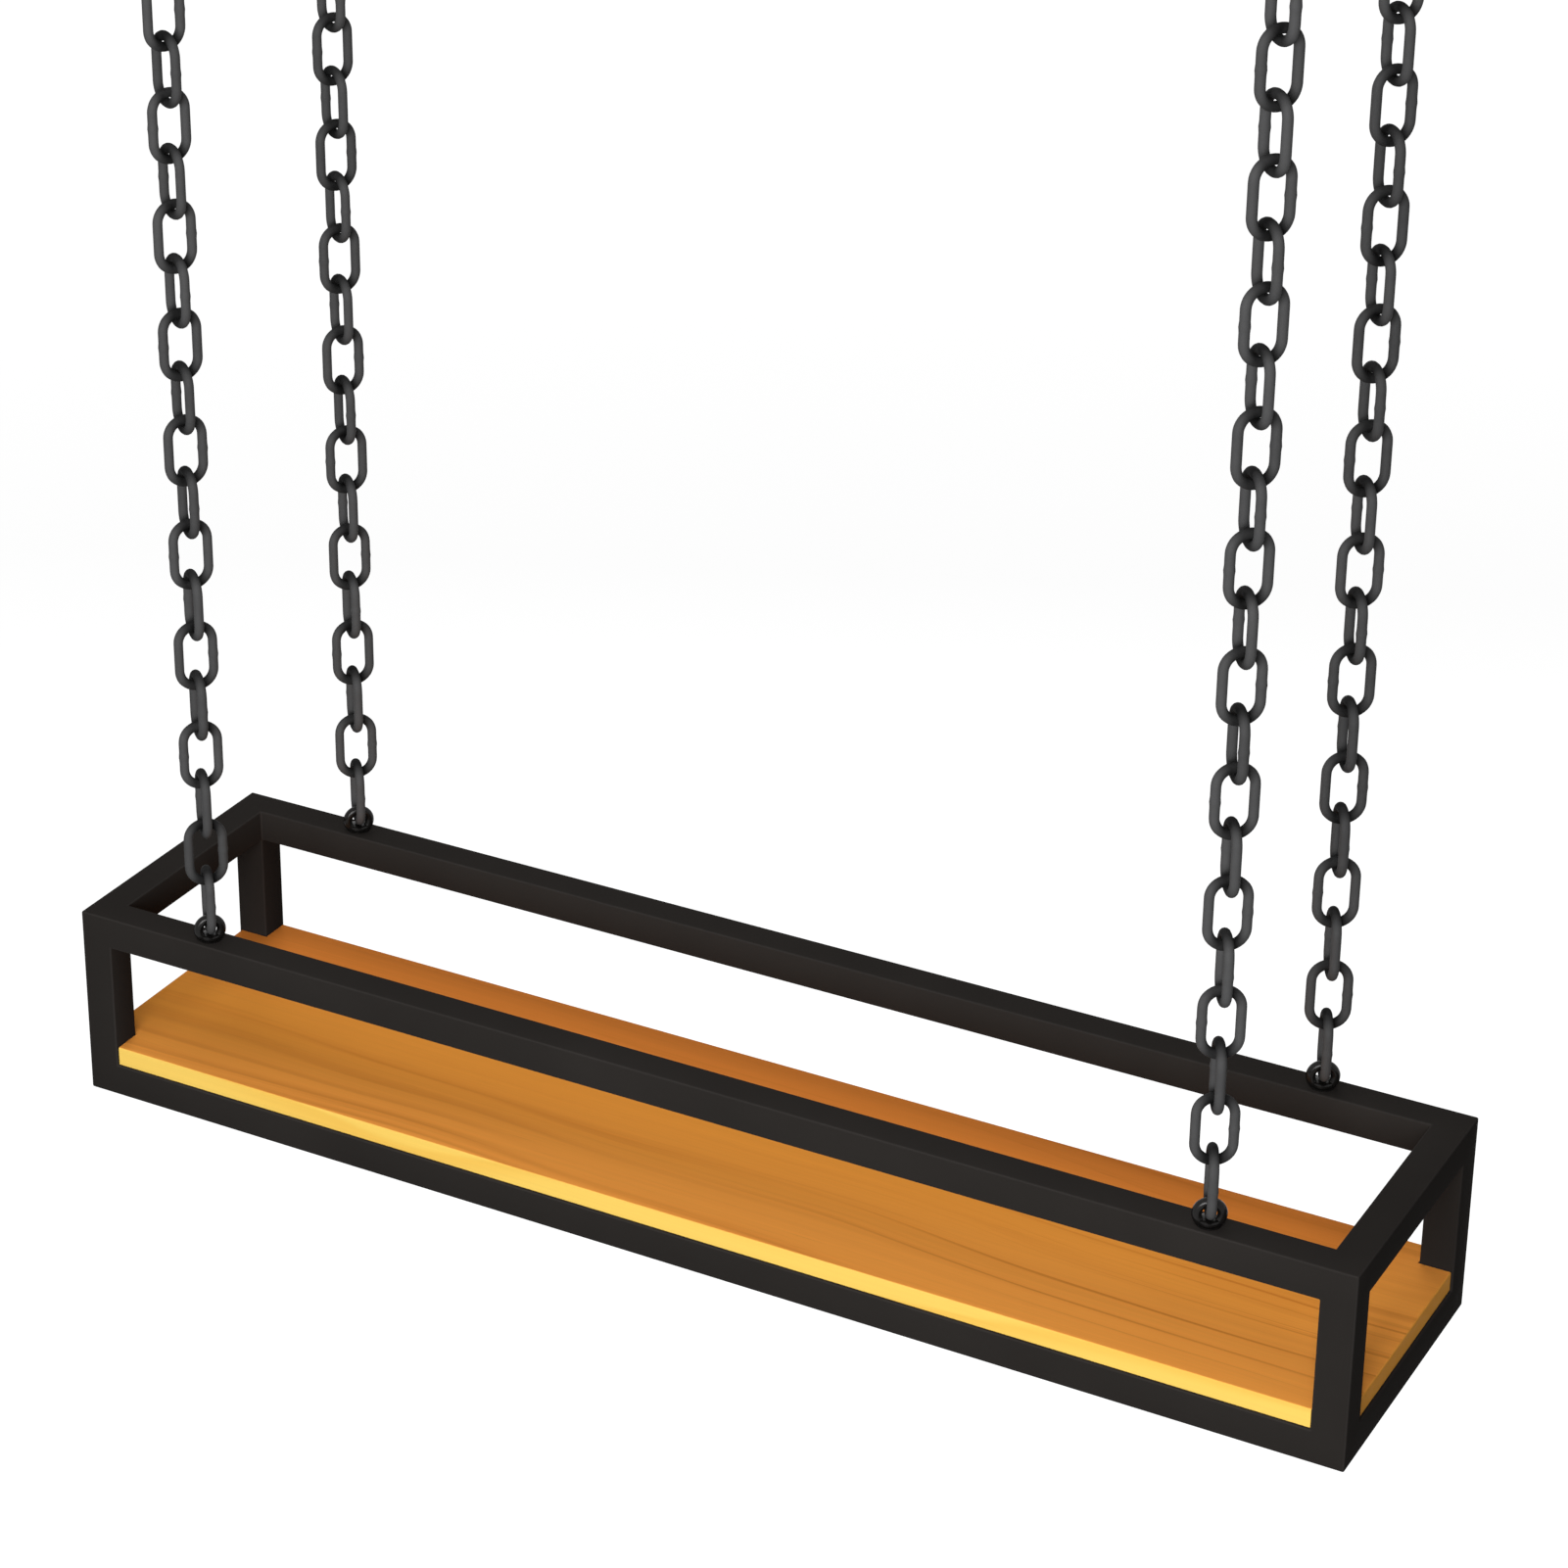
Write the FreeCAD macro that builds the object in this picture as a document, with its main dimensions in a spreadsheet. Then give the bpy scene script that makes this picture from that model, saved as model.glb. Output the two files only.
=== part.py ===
import FreeCAD, Part
import os
from math import radians

import Sketcher

# A rack of welded square tube with a wooden board, hung from the ceiling on four chains.
# X runs along the rack, Y towards its back and Z up, in millimetres.
# The origin is the middle of the four ceiling hooks, on the surface of the ceiling.

doc = FreeCAD.newDocument("hanging_ceiling_rack")
sheet = doc.addObject("Spreadsheet::Sheet", "Sizes")

SIZES = {
    # Frame, over its outer faces
    "frame_length": 800,
    "frame_depth": 180,
    "frame_height": 120,
    # Ceiling to the underside of the frame, met to the nearest whole link
    "hang_height": 860,
    # Square tube of the frame
    "tube_side": 20,
    "tube_wall": 1.5,
    "tube_edge_radius": 1.0,
    # Board on the bottom rails
    "board_thickness": 12,
    "board_setback": 1.5,
    "board_notch_clearance": 0.5,
    "board_edge_radius": 0.8,
    # Screws that hold the board from below
    "screw_spacing": 300,
    "screw_radius": 2.0,
    "screw_length": 11.5,
    "screw_head_radius": 3.75,
    "screw_head_height": 2.4,
    "screw_pilot_clearance": 0.05,
    "screw_pilot_spare": 0.5,
    "screw_wall_clearance": 0.25,
    "screw_access_radius": 5.0,
    # Eye bolts on the top rails
    "eye_inset": 86,
    "eye_turn_left": 43,
    "eye_turn_right": 27,
    "eye_wire": 5.5,
    "eye_ring_radius": 6.75,
    "eye_rise": 5.5,
    "eye_collar_radius": 6.0,
    "eye_collar_height": 2.6,
    "eye_shank_radius": 3.0,
    "eye_shank_length": 12.0,
    # Blind rivet nuts that the eye bolts screw into
    "rivet_flange_radius": 7.0,
    "rivet_flange_thickness": 0.8,
    "rivet_barrel_radius": 4.5,
    "rivet_barrel_length": 11.0,
    "rivet_bulge_radius": 6.2,
    "rivet_bulge_height": 2.5,
    "rivet_hole_clearance": 0.1,
    "thread_clearance": 0.05,
    # Chains, counted and turned from the eye bolts up
    "link_wire": 5.5,
    "link_inner_length": 32.0,
    "link_inner_width": 14.5,
    "link_gap": 0.6,
    "link_twist": 1.4,
    # Ceiling hooks
    "hook_wire": 6.0,
    "hook_bowl_radius": 11.0,
    "hook_neck": 10.0,
    "hook_mouth_angle": 42.0,
    "hook_tip_radius": 2.0,
    "hook_screw_radius": 2.4,
    "hook_screw_length": 40.0,
    "hook_screw_end_radius": 0.8,
    # Washers and nuts that clamp the hooks to the ceiling
    "washer_radius": 9.0,
    "washer_thickness": 1.6,
    "washer_clearance": 0.2,
    "nut_across_flats": 10.0,
    "nut_height": 5.0,
}

for row, (alias, value) in enumerate(SIZES.items(), start=1):
    sheet.set(f"A{row}", alias)
    sheet.set(f"B{row}", str(value))
    sheet.setAlias(f"B{row}", alias)
doc.recompute()

# Plan positions of the tubes' centre-lines and of the chains
RAIL_Y = "(Sizes.frame_depth - Sizes.tube_side) / 2"
END_X = "(Sizes.frame_length - Sizes.tube_side) / 2"
CHAIN_X = "(Sizes.frame_length / 2 - Sizes.eye_inset)"
CHAIN_Y = f"({RAIL_Y})"

# Heights, worked out from the ceiling down: hook, links, eye bolt and frame
LINK_PITCH = "(Sizes.link_inner_length - Sizes.link_gap)"
LINK_REACH = "(Sizes.link_inner_length + Sizes.link_wire) / 2"
HOOK_SEAT_Z = "(-Sizes.hook_neck - (1 + sqrt(3)) * Sizes.hook_bowl_radius)"
HOOK_STEP = "((Sizes.hook_wire + Sizes.link_wire) / 2 + Sizes.link_gap)"
EYE_STEP = "((Sizes.eye_wire + Sizes.link_wire) / 2 + Sizes.link_gap)"
TOP_LINK_Z = f"({HOOK_SEAT_Z} + {HOOK_STEP} - {LINK_REACH})"
EYE_DROP = f"({LINK_REACH} - {EYE_STEP} + Sizes.eye_ring_radius)"
FRAME_DROP = "(Sizes.eye_rise + Sizes.rivet_flange_thickness + Sizes.frame_height)"
LINK_STEPS = f"round((Sizes.hang_height + {TOP_LINK_Z} - {EYE_DROP} - {FRAME_DROP}) / {LINK_PITCH})"
BOTTOM_LINK_Z = f"({TOP_LINK_Z} - {LINK_STEPS} * {LINK_PITCH})"
EYE_CENTRE_Z = f"({BOTTOM_LINK_Z} - {EYE_DROP})"
EYE_SEAT_Z = f"({EYE_CENTRE_Z} - Sizes.eye_rise)"
FRAME_TOP_Z = f"({EYE_SEAT_Z} - Sizes.rivet_flange_thickness)"
FRAME_BOTTOM_Z = f"({FRAME_TOP_Z} - Sizes.frame_height)"
TOP_RING_Z = f"({FRAME_TOP_Z} - Sizes.tube_side / 2)"
BOTTOM_RING_Z = f"({FRAME_BOTTOM_Z} + Sizes.tube_side / 2)"
BOARD_Z = f"({FRAME_BOTTOM_Z} + Sizes.tube_side)"

# Turns of the links about the vertical: each is a quarter turn and a little twist from the one below
LINK_TURN = "(90 + Sizes.link_twist)"
BOTTOM_LINK_TURN = {side: f"(Sizes.eye_turn_{side} - 90)" for side in ("left", "right")}
TOP_LINK_TURN = {side: f"({turn} + {LINK_STEPS} * {LINK_TURN})" for side, turn in BOTTOM_LINK_TURN.items()}
HOOK_TURN = {side: f"({turn} + 90)" for side, turn in TOP_LINK_TURN.items()}

# Places of the board's screws along the bottom rails, and the level of their heads
SCREW_PLACES = ["-Sizes.screw_spacing", "0", "Sizes.screw_spacing"]
SCREW_HEAD_Z = f"({BOARD_Z} - Sizes.tube_wall)"

# Bend that brings the bowl of a hook back under its shank, in degrees
HOOK_BEND = 60

# Difference below which two lengths count as the same, in millimetres
NEAR = 1e-6

SIDES = {"left": "-", "right": ""}
ROWS = {"front": "-", "back": ""}
CORNERS = [(row, side) for row in ROWS for side in SIDES]

SCREW_SPOTS = [(x, f"{sign}{RAIL_Y}") for sign in ROWS.values() for x in SCREW_PLACES]

sub_parts = []


def number(expression):
    """Returns what an expression over the sheet is worth, in millimetres or degrees."""
    return float(sheet.evalExpression(expression))


def new_body(label):
    """Starts a sub-part whose label names its file."""
    body = doc.addObject("PartDesign::Body", label)
    body.Label = label
    sub_parts.append(body)
    return body


def new_sketch(body, plane, lift=None):
    """Starts a sketch on one of the body's own origin planes, lifted along the plane's normal."""
    sketch = body.newObject("Sketcher::SketchObject", f"{body.Label}_outline")
    support = next(item for item in body.Origin.OriginFeatures if item.Role == plane)
    sketch.AttachmentSupport = (support, [""])
    sketch.MapMode = "FlatFace"
    if lift:
        sketch.setExpression("AttachmentOffset.Base.z", lift)
    return sketch


def tie(sketch, kind, ends, expression):
    """Adds a dimension to a sketch and binds it to an expression."""
    index = sketch.addConstraint(Sketcher.Constraint(kind, *ends, number(expression)))
    sketch.setExpression(f"Constraints[{index}]", expression)


def tie_point(sketch, curve, end, place):
    """Holds one end, or the centre, of a curve at an (across, up) pair of expressions."""
    tie(sketch, "DistanceX", (-1, 1, curve, end), place[0])
    tie(sketch, "DistanceY", (-1, 1, curve, end), place[1])


def spot(place):
    """Returns the vector of an (across, up) pair of expressions."""
    return FreeCAD.Vector(number(place[0]), number(place[1]), 0)


def draw_polygon(sketch, corners):
    """Draws a closed outline through corners given as (across, up) pairs of expressions."""
    lines = []
    for index, corner in enumerate(corners):
        following = corners[(index + 1) % len(corners)]
        lines.append(sketch.addGeometry(Part.LineSegment(spot(corner), spot(following))))
    for index, line in enumerate(lines):
        following = lines[(index + 1) % len(lines)]
        sketch.addConstraint(Sketcher.Constraint("Coincident", line, 2, following, 1))
        tie_point(sketch, line, 1, corners[index])


def draw_rectangle(sketch, left, right, low, high):
    """Draws a rectangle between four expressions."""
    draw_polygon(sketch, [(left, low), (right, low), (right, high), (left, high)])


def draw_circle(sketch, centre, radius):
    """Draws a circle about an (across, up) pair of expressions."""
    curve = sketch.addGeometry(Part.Circle(spot(centre), FreeCAD.Vector(0, 0, 1), number(radius)))
    tie_point(sketch, curve, 3, centre)
    tie(sketch, "Radius", (curve,), radius)


def draw_hexagon(sketch, centre, across_flats):
    """Draws a hexagon with two flats facing along the sketch's up axis."""
    half_flat = f"({across_flats} / sqrt(3) / 2)"
    half = f"({across_flats} / 2)"
    offsets = [
        (half_flat, half), (f"-{half_flat}", half), (f"-2 * {half_flat}", "0"),
        (f"-{half_flat}", f"-{half}"), (half_flat, f"-{half}"), (f"2 * {half_flat}", "0"),
    ]
    draw_polygon(sketch, [(f"{centre[0]} + {x}", f"{centre[1]} + {y}") for x, y in offsets])


def add_pad(body, sketch, length, downward=False, symmetric=False):
    """Pads a sketch by an expression, along its normal, against it or to both sides."""
    pad = body.newObject("PartDesign::Pad", f"{body.Label}_pad")
    pad.Profile = sketch
    pad.setExpression("Length", length)
    pad.Reversed = downward
    pad.SideType = "Symmetric" if symmetric else "One side"
    return pad


def add_pocket(body, sketch, length, upward=False, symmetric=False):
    """Cuts a sketch out by an expression and checks that it took something away."""
    doc.recompute()
    before = body.Shape.Volume
    pocket = body.newObject("PartDesign::Pocket", f"{body.Label}_pocket")
    pocket.Profile = sketch
    pocket.setExpression("Length", length)
    pocket.Reversed = upward
    pocket.SideType = "Symmetric" if symmetric else "One side"
    doc.recompute()
    if body.Shape.Volume >= before:
        raise RuntimeError(f"{body.Label}: a pocket cuts nothing")
    return pocket


def add_fillet(body, radius, wanted):
    """Rounds the edges of the body's present shape that a test picks."""
    doc.recompute()
    base = body.Tip
    names = [f"Edge{n}" for n, edge in enumerate(base.Shape.Edges, start=1) if wanted(edge)]
    fillet = body.newObject("PartDesign::Fillet", f"{body.Label}_fillet")
    fillet.Base = (base, names)
    fillet.setExpression("Radius", radius)
    return fillet


def add_pipe(body, section, spine):
    """Runs a sketched section along a sketched path."""
    pipe = body.newObject("PartDesign::AdditivePipe", f"{body.Label}_pipe")
    pipe.Profile = section
    pipe.Spine = spine
    return pipe


def chain_place(row, side):
    """Returns the (x, y) expressions of one chain's vertical line."""
    return f"{SIDES[side]}{CHAIN_X}", f"{ROWS[row]}{CHAIN_Y}"


def place(body, x="0", y="0", z="0", turn=None):
    """Puts a sub-part at three expressions and turns it about the vertical by a fourth."""
    if turn:
        body.setExpression("Placement.Rotation.Angle", turn)
    body.setExpression("Placement.Base.x", x)
    body.setExpression("Placement.Base.y", y)
    body.setExpression("Placement.Base.z", z)


def runs_along(edge, axis):
    """Tells whether an edge is straight and parallel to an axis."""
    if not isinstance(edge.Curve, Part.Line):
        return False
    return abs(edge.Curve.Direction.dot(axis)) > 1 - NEAR


def build_tube(label, length):
    """Builds a straight square tube along X, centred on its own origin, with its edges rounded."""
    body = new_body(label)
    section = new_sketch(body, "YZ_Plane")
    outer = "Sizes.tube_side / 2"
    inner = "(Sizes.tube_side / 2 - Sizes.tube_wall)"
    draw_rectangle(section, f"-{outer}", outer, f"-{outer}", outer)
    draw_rectangle(section, f"-{inner}", inner, f"-{inner}", inner)
    add_pad(body, section, length, symmetric=True)
    reach = number(outer)

    def is_outer_edge(edge):
        """Tells whether an edge is one of the four outer ones along the tube."""
        middle = edge.CenterOfMass
        return runs_along(edge, FreeCAD.Vector(1, 0, 0)) and abs(abs(middle.y) - reach) < NEAR

    add_fillet(body, "Sizes.tube_edge_radius", is_outer_edge)
    return body


def cut_mitres(body, length):
    """Cuts both ends of a tube at 45 degrees, with its long side facing -Y."""
    half = f"({length}) / 2"
    side = "Sizes.tube_side / 2"
    corner = new_sketch(body, "XY_Plane")
    draw_polygon(corner, [(half, f"-{side}"), (half, side), (f"{half} - Sizes.tube_side", side)])
    pocket = add_pocket(body, corner, "2 * Sizes.tube_side", symmetric=True)
    other_end = body.newObject("PartDesign::Mirrored", f"{body.Label}_other_end")
    other_end.Originals = [pocket]
    mirror = next(item for item in body.Origin.OriginFeatures if item.Role == "YZ_Plane")
    other_end.MirrorPlane = (mirror, [""])
    body.Tip = other_end


def cut_wall_holes(body, places, radius, upward):
    """Drills one wall of a tube, the upper or the lower one, from the tube's hollow."""
    holes = new_sketch(body, "XY_Plane")
    for x in places:
        draw_circle(holes, (x, "0"), radius)
    add_pocket(body, holes, "Sizes.tube_side", upward=upward)


def build_frame():
    """Builds the twelve tubes of the frame: two mitred rings and the posts between them."""
    eye_places = [f"-{CHAIN_X}", CHAIN_X]
    for level, height in (("top", TOP_RING_Z), ("bottom", BOTTOM_RING_Z)):
        for row, sign in ROWS.items():
            body = build_tube(f"{level}_{row}_rail", "Sizes.frame_length")
            cut_mitres(body, "Sizes.frame_length")
            if level == "top":
                hole = "Sizes.rivet_barrel_radius + Sizes.rivet_hole_clearance"
                cut_wall_holes(body, eye_places, hole, upward=True)
            else:
                hole = "Sizes.screw_radius + Sizes.screw_wall_clearance"
                cut_wall_holes(body, SCREW_PLACES, hole, upward=True)
                cut_wall_holes(body, SCREW_PLACES, "Sizes.screw_access_radius", upward=False)
            place(body, y=f"{sign}{RAIL_Y}", z=height, turn="0" if row == "front" else "180")
        for side, sign in SIDES.items():
            body = build_tube(f"{level}_{side}_rail", "Sizes.frame_depth")
            cut_mitres(body, "Sizes.frame_depth")
            place(body, x=f"{sign}{END_X}", z=height, turn="-90" if side == "left" else "90")
    for row, side in CORNERS:
        body = build_tube(f"post_{row}_{side}", "Sizes.frame_height - 2 * Sizes.tube_side")
        upright = FreeCAD.Rotation(FreeCAD.Vector(0, 1, 0), -90)
        body.Placement = FreeCAD.Placement(FreeCAD.Vector(), upright)
        middle = f"({FRAME_TOP_Z} + {FRAME_BOTTOM_Z}) / 2"
        place(body, x=f"{SIDES[side]}{END_X}", y=f"{ROWS[row]}{RAIL_Y}", z=middle)


def build_board():
    """Builds the board, notched round the posts and drilled from below for its screws."""
    body = new_body("shelf_board")
    outline = new_sketch(body, "XY_Plane")
    long_half = "(Sizes.frame_length / 2 - Sizes.board_setback)"
    deep_half = "(Sizes.frame_depth / 2 - Sizes.board_setback)"
    notch_x = "(Sizes.frame_length / 2 - Sizes.tube_side - Sizes.board_notch_clearance)"
    notch_y = "(Sizes.frame_depth / 2 - Sizes.tube_side - Sizes.board_notch_clearance)"
    draw_polygon(outline, [
        (f"-{notch_x}", f"-{deep_half}"), (notch_x, f"-{deep_half}"),
        (notch_x, f"-{notch_y}"), (long_half, f"-{notch_y}"),
        (long_half, notch_y), (notch_x, notch_y),
        (notch_x, deep_half), (f"-{notch_x}", deep_half),
        (f"-{notch_x}", notch_y), (f"-{long_half}", notch_y),
        (f"-{long_half}", f"-{notch_y}"), (f"-{notch_x}", f"-{notch_y}"),
    ])
    add_pad(body, outline, "Sizes.board_thickness")
    outer_x = number(long_half)
    outer_y = number(deep_half)

    def is_outer_edge(edge):
        """Tells whether an edge runs along the board's sides or ends, above or below."""
        middle = edge.CenterOfMass
        upright = runs_along(edge, FreeCAD.Vector(0, 0, 1))
        at_rim = abs(abs(middle.x) - outer_x) < NEAR or abs(abs(middle.y) - outer_y) < NEAR
        return at_rim and not upright

    add_fillet(body, "Sizes.board_edge_radius", is_outer_edge)
    pilots = new_sketch(body, "XY_Plane")
    for centre in SCREW_SPOTS:
        draw_circle(pilots, centre, "Sizes.screw_radius + Sizes.screw_pilot_clearance")
    depth = "Sizes.screw_length - Sizes.tube_wall + Sizes.screw_pilot_spare"
    add_pocket(body, pilots, depth, upward=True)
    place(body, z=BOARD_Z)


def build_board_screws():
    """Builds the screws, whose heads bear on the inside of the bottom rails' upper walls."""
    body = new_body("board_screws")
    heads = new_sketch(body, "XY_Plane")
    shanks = new_sketch(body, "XY_Plane")
    for centre in SCREW_SPOTS:
        draw_circle(heads, centre, "Sizes.screw_head_radius")
        draw_circle(shanks, centre, "Sizes.screw_radius")
    add_pad(body, heads, "Sizes.screw_head_height", downward=True)
    add_pad(body, shanks, "Sizes.screw_length")
    place(body, z=SCREW_HEAD_Z)


def build_eye_bolt(row, side):
    """Builds an eye bolt about its ring's centre: a forged ring, a collar and a threaded shank."""
    body = new_body(f"eye_bolt_{row}_{side}")
    section = new_sketch(body, "YZ_Plane")
    draw_circle(section, ("0", "Sizes.eye_ring_radius"), "Sizes.eye_wire / 2")
    ring = body.newObject("PartDesign::Revolution", f"{body.Label}_ring")
    ring.Profile = section
    ring.ReferenceAxis = (section, ["H_Axis"])
    ring.Angle = 360
    seat = "-Sizes.eye_rise"
    beyond = "(Sizes.eye_ring_radius + Sizes.eye_wire)"
    trim = new_sketch(body, "XY_Plane", lift=seat)
    draw_rectangle(trim, f"-{beyond}", beyond, f"-{beyond}", beyond)
    add_pocket(body, trim, beyond)
    collar = new_sketch(body, "XY_Plane", lift=seat)
    draw_circle(collar, ("0", "0"), "Sizes.eye_collar_radius")
    add_pad(body, collar, "Sizes.eye_collar_height")
    shank = new_sketch(body, "XY_Plane", lift=seat)
    draw_circle(shank, ("0", "0"), "Sizes.eye_shank_radius")
    add_pad(body, shank, "Sizes.eye_shank_length", downward=True)
    x, y = chain_place(row, side)
    place(body, x=x, y=y, z=EYE_CENTRE_Z, turn=f"Sizes.eye_turn_{side}")


def draw_rings(sketch, outer, inner):
    """Draws an outer and an inner circle at each of the four chains."""
    for row, side in CORNERS:
        draw_circle(sketch, chain_place(row, side), outer)
        draw_circle(sketch, chain_place(row, side), inner)


def build_rivet_nuts():
    """Builds the blind rivet nuts: a flange on the rail, a barrel and a bulge under the wall."""
    body = new_body("eye_rivet_nuts")
    bore = "Sizes.eye_shank_radius + Sizes.thread_clearance"
    flange = new_sketch(body, "XY_Plane")
    draw_rings(flange, "Sizes.rivet_flange_radius", bore)
    add_pad(body, flange, "Sizes.rivet_flange_thickness")
    barrel = new_sketch(body, "XY_Plane")
    draw_rings(barrel, "Sizes.rivet_barrel_radius", bore)
    add_pad(body, barrel, "Sizes.rivet_barrel_length", downward=True)
    bulge = new_sketch(body, "XY_Plane", lift="-Sizes.tube_wall")
    draw_rings(bulge, "Sizes.rivet_bulge_radius", bore)
    add_pad(body, bulge, "Sizes.rivet_bulge_height", downward=True)
    place(body, z=FRAME_TOP_Z)


def build_link(label):
    """Builds one chain link in its own XZ plane: wire bent to two straights and two half rounds."""
    body = new_body(label)
    half_width = "(Sizes.link_inner_width + Sizes.link_wire) / 2"
    half_straight = "(Sizes.link_inner_length - Sizes.link_inner_width) / 2"
    normal = FreeCAD.Vector(0, 0, 1)
    spine = new_sketch(body, "XZ_Plane")
    corners = [
        (half_width, f"-{half_straight}"), (half_width, half_straight),
        (f"-{half_width}", half_straight), (f"-{half_width}", f"-{half_straight}"),
    ]
    right = spine.addGeometry(Part.LineSegment(spot(corners[0]), spot(corners[1])))
    left = spine.addGeometry(Part.LineSegment(spot(corners[2]), spot(corners[3])))
    bends = []
    for middle, start, end in (("", 0, 180), ("-", 180, 360)):
        centre = ("0", f"{middle}{half_straight}")
        circle = Part.Circle(spot(centre), normal, number(half_width))
        bends.append(spine.addGeometry(Part.ArcOfCircle(circle, radians(start), radians(end))))
    upper, lower = bends
    for first, second in ((right, upper), (upper, left), (left, lower), (lower, right)):
        spine.addConstraint(Sketcher.Constraint("Coincident", first, 2, second, 1))
    for line, ends in ((right, corners[:2]), (left, corners[2:])):
        tie_point(spine, line, 1, ends[0])
        tie_point(spine, line, 2, ends[1])
    tie(spine, "DistanceY", (-1, 1, upper, 3), half_straight)
    tie(spine, "DistanceY", (-1, 1, lower, 3), f"-{half_straight}")
    section = new_sketch(body, "XY_Plane")
    draw_circle(section, (half_width, "0"), "Sizes.link_wire / 2")
    add_pipe(body, section, spine)
    return body


def build_chain(row, side):
    """Builds a chain: the link on the hook, the link in the eye and the run of links between."""
    name = f"chain_{row}_{side}"
    x, y = chain_place(row, side)
    top_link = build_link(f"{name}_top_link")
    place(top_link, x=x, y=y, z=TOP_LINK_Z, turn=TOP_LINK_TURN[side])
    bottom_link = build_link(f"{name}_bottom_link")
    place(bottom_link, x=x, y=y, z=BOTTOM_LINK_Z, turn=BOTTOM_LINK_TURN[side])
    doc.recompute()
    links = []
    for index in range(1, round(number(LINK_STEPS))):
        turn = number(BOTTOM_LINK_TURN[side]) + index * number(LINK_TURN)
        height = FreeCAD.Vector(0, 0, index * number(LINK_PITCH))
        link = bottom_link.Shape.copy()
        link.Placement = FreeCAD.Placement(height, FreeCAD.Rotation(FreeCAD.Vector(0, 0, 1), turn))
        links.append(link)
    run = doc.addObject("Part::Feature", f"{name}_run")
    run.Label = f"{name}_run"
    run.Shape = Part.makeCompound(links)
    place(run, x=x, y=y, z=BOTTOM_LINK_Z)
    sub_parts.append(run)


def build_ceiling_hook(row, side):
    """Builds a ceiling hook: a screw, and under the ceiling a shank that bends round into an open bowl."""
    body = new_body(f"ceiling_hook_{row}_{side}")
    radius = "Sizes.hook_bowl_radius"
    shank_top = ("0", "0")
    neck = ("0", "-Sizes.hook_neck")
    bend_centre = (f"-{radius}", "-Sizes.hook_neck")
    bowl_centre = ("0", f"-Sizes.hook_neck - sqrt(3) * {radius}")
    normal = FreeCAD.Vector(0, 0, 1)
    spine = new_sketch(body, "XZ_Plane")
    shank = spine.addGeometry(Part.LineSegment(spot(shank_top), spot(neck)))
    bend_circle = Part.Circle(spot(bend_centre), normal, number(radius))
    bend = spine.addGeometry(Part.ArcOfCircle(bend_circle, radians(-HOOK_BEND), radians(0)))
    bowl_circle = Part.Circle(spot(bowl_centre), normal, number(radius))
    mouth = radians(360 + number("Sizes.hook_mouth_angle"))
    bowl = spine.addGeometry(Part.ArcOfCircle(bowl_circle, radians(180 - HOOK_BEND), mouth))
    tie_point(spine, shank, 1, shank_top)
    tie_point(spine, shank, 2, neck)
    tie_point(spine, bend, 3, bend_centre)
    tie_point(spine, bowl, 3, bowl_centre)
    spine.addConstraint(Sketcher.Constraint("Coincident", shank, 2, bend, 2))
    spine.addConstraint(Sketcher.Constraint("Coincident", bend, 1, bowl, 1))
    tie(spine, "DistanceX", (-1, 1, bowl, 1), f"-{radius} / 2")
    tie(spine, "DistanceX", (-1, 1, bowl, 2), f"{radius} * cos(Sizes.hook_mouth_angle)")
    section = new_sketch(body, "XY_Plane")
    draw_circle(section, ("0", "0"), "Sizes.hook_wire / 2")
    add_pipe(body, section, spine)
    screw = new_sketch(body, "XY_Plane")
    draw_circle(screw, ("0", "0"), "Sizes.hook_screw_radius")
    add_pad(body, screw, "Sizes.hook_screw_length")

    def is_tip_edge(edge):
        """Tells whether an edge is the rim of the hook's free end."""
        return edge.CenterOfMass.x > number(radius) / 2 and edge.isClosed()

    def is_screw_edge(edge):
        """Tells whether an edge is the rim of the screw's upper end."""
        return edge.CenterOfMass.z > number("Sizes.hook_screw_length") / 2 and edge.isClosed()

    add_fillet(body, "Sizes.hook_tip_radius", is_tip_edge)
    add_fillet(body, "Sizes.hook_screw_end_radius", is_screw_edge)
    x, y = chain_place(row, side)
    place(body, x=x, y=y, turn=HOOK_TURN[side])


def build_hook_fastenings():
    """Builds the washers and nuts that clamp the hooks to the ceiling."""
    washers = new_body("hook_washers")
    discs = new_sketch(washers, "XY_Plane")
    draw_rings(discs, "Sizes.washer_radius", "Sizes.hook_wire / 2 + Sizes.washer_clearance")
    add_pad(washers, discs, "Sizes.washer_thickness", downward=True)

    nuts = new_body("hook_nuts")
    hexagons = new_sketch(nuts, "XY_Plane", lift="-Sizes.washer_thickness")
    for row, side in CORNERS:
        draw_hexagon(hexagons, chain_place(row, side), "Sizes.nut_across_flats")
        draw_circle(hexagons, chain_place(row, side), "Sizes.hook_wire / 2 + Sizes.thread_clearance")
    add_pad(nuts, hexagons, "Sizes.nut_height", downward=True)


def write_parts():
    """Checks every object of the document and writes one file for each sub-part."""
    doc.recompute()
    for item in doc.Objects:
        if "Invalid" in item.State or "Error" in item.State:
            raise RuntimeError(f"{item.Label} failed: {item.State}")
    for item in sub_parts:
        if item.Shape.isNull() or not item.Shape.isValid():
            raise RuntimeError(f"{item.Label} has no valid shape")
    os.makedirs("parts", exist_ok=True)
    for item in sub_parts:
        item.Shape.exportStep(f"parts/{item.Label}.step")
        print(f"{item.Label}: {len(item.Shape.Solids)} solids, {item.Shape.Volume:.1f} mm3")


def main():
    """Builds every sub-part from the frame up to the ceiling and writes them."""
    build_frame()
    build_board()
    build_board_screws()
    build_rivet_nuts()
    for row, side in CORNERS:
        build_eye_bolt(row, side)
        build_chain(row, side)
        build_ceiling_hook(row, side)
    build_hook_fastenings()
    write_parts()


main()
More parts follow.
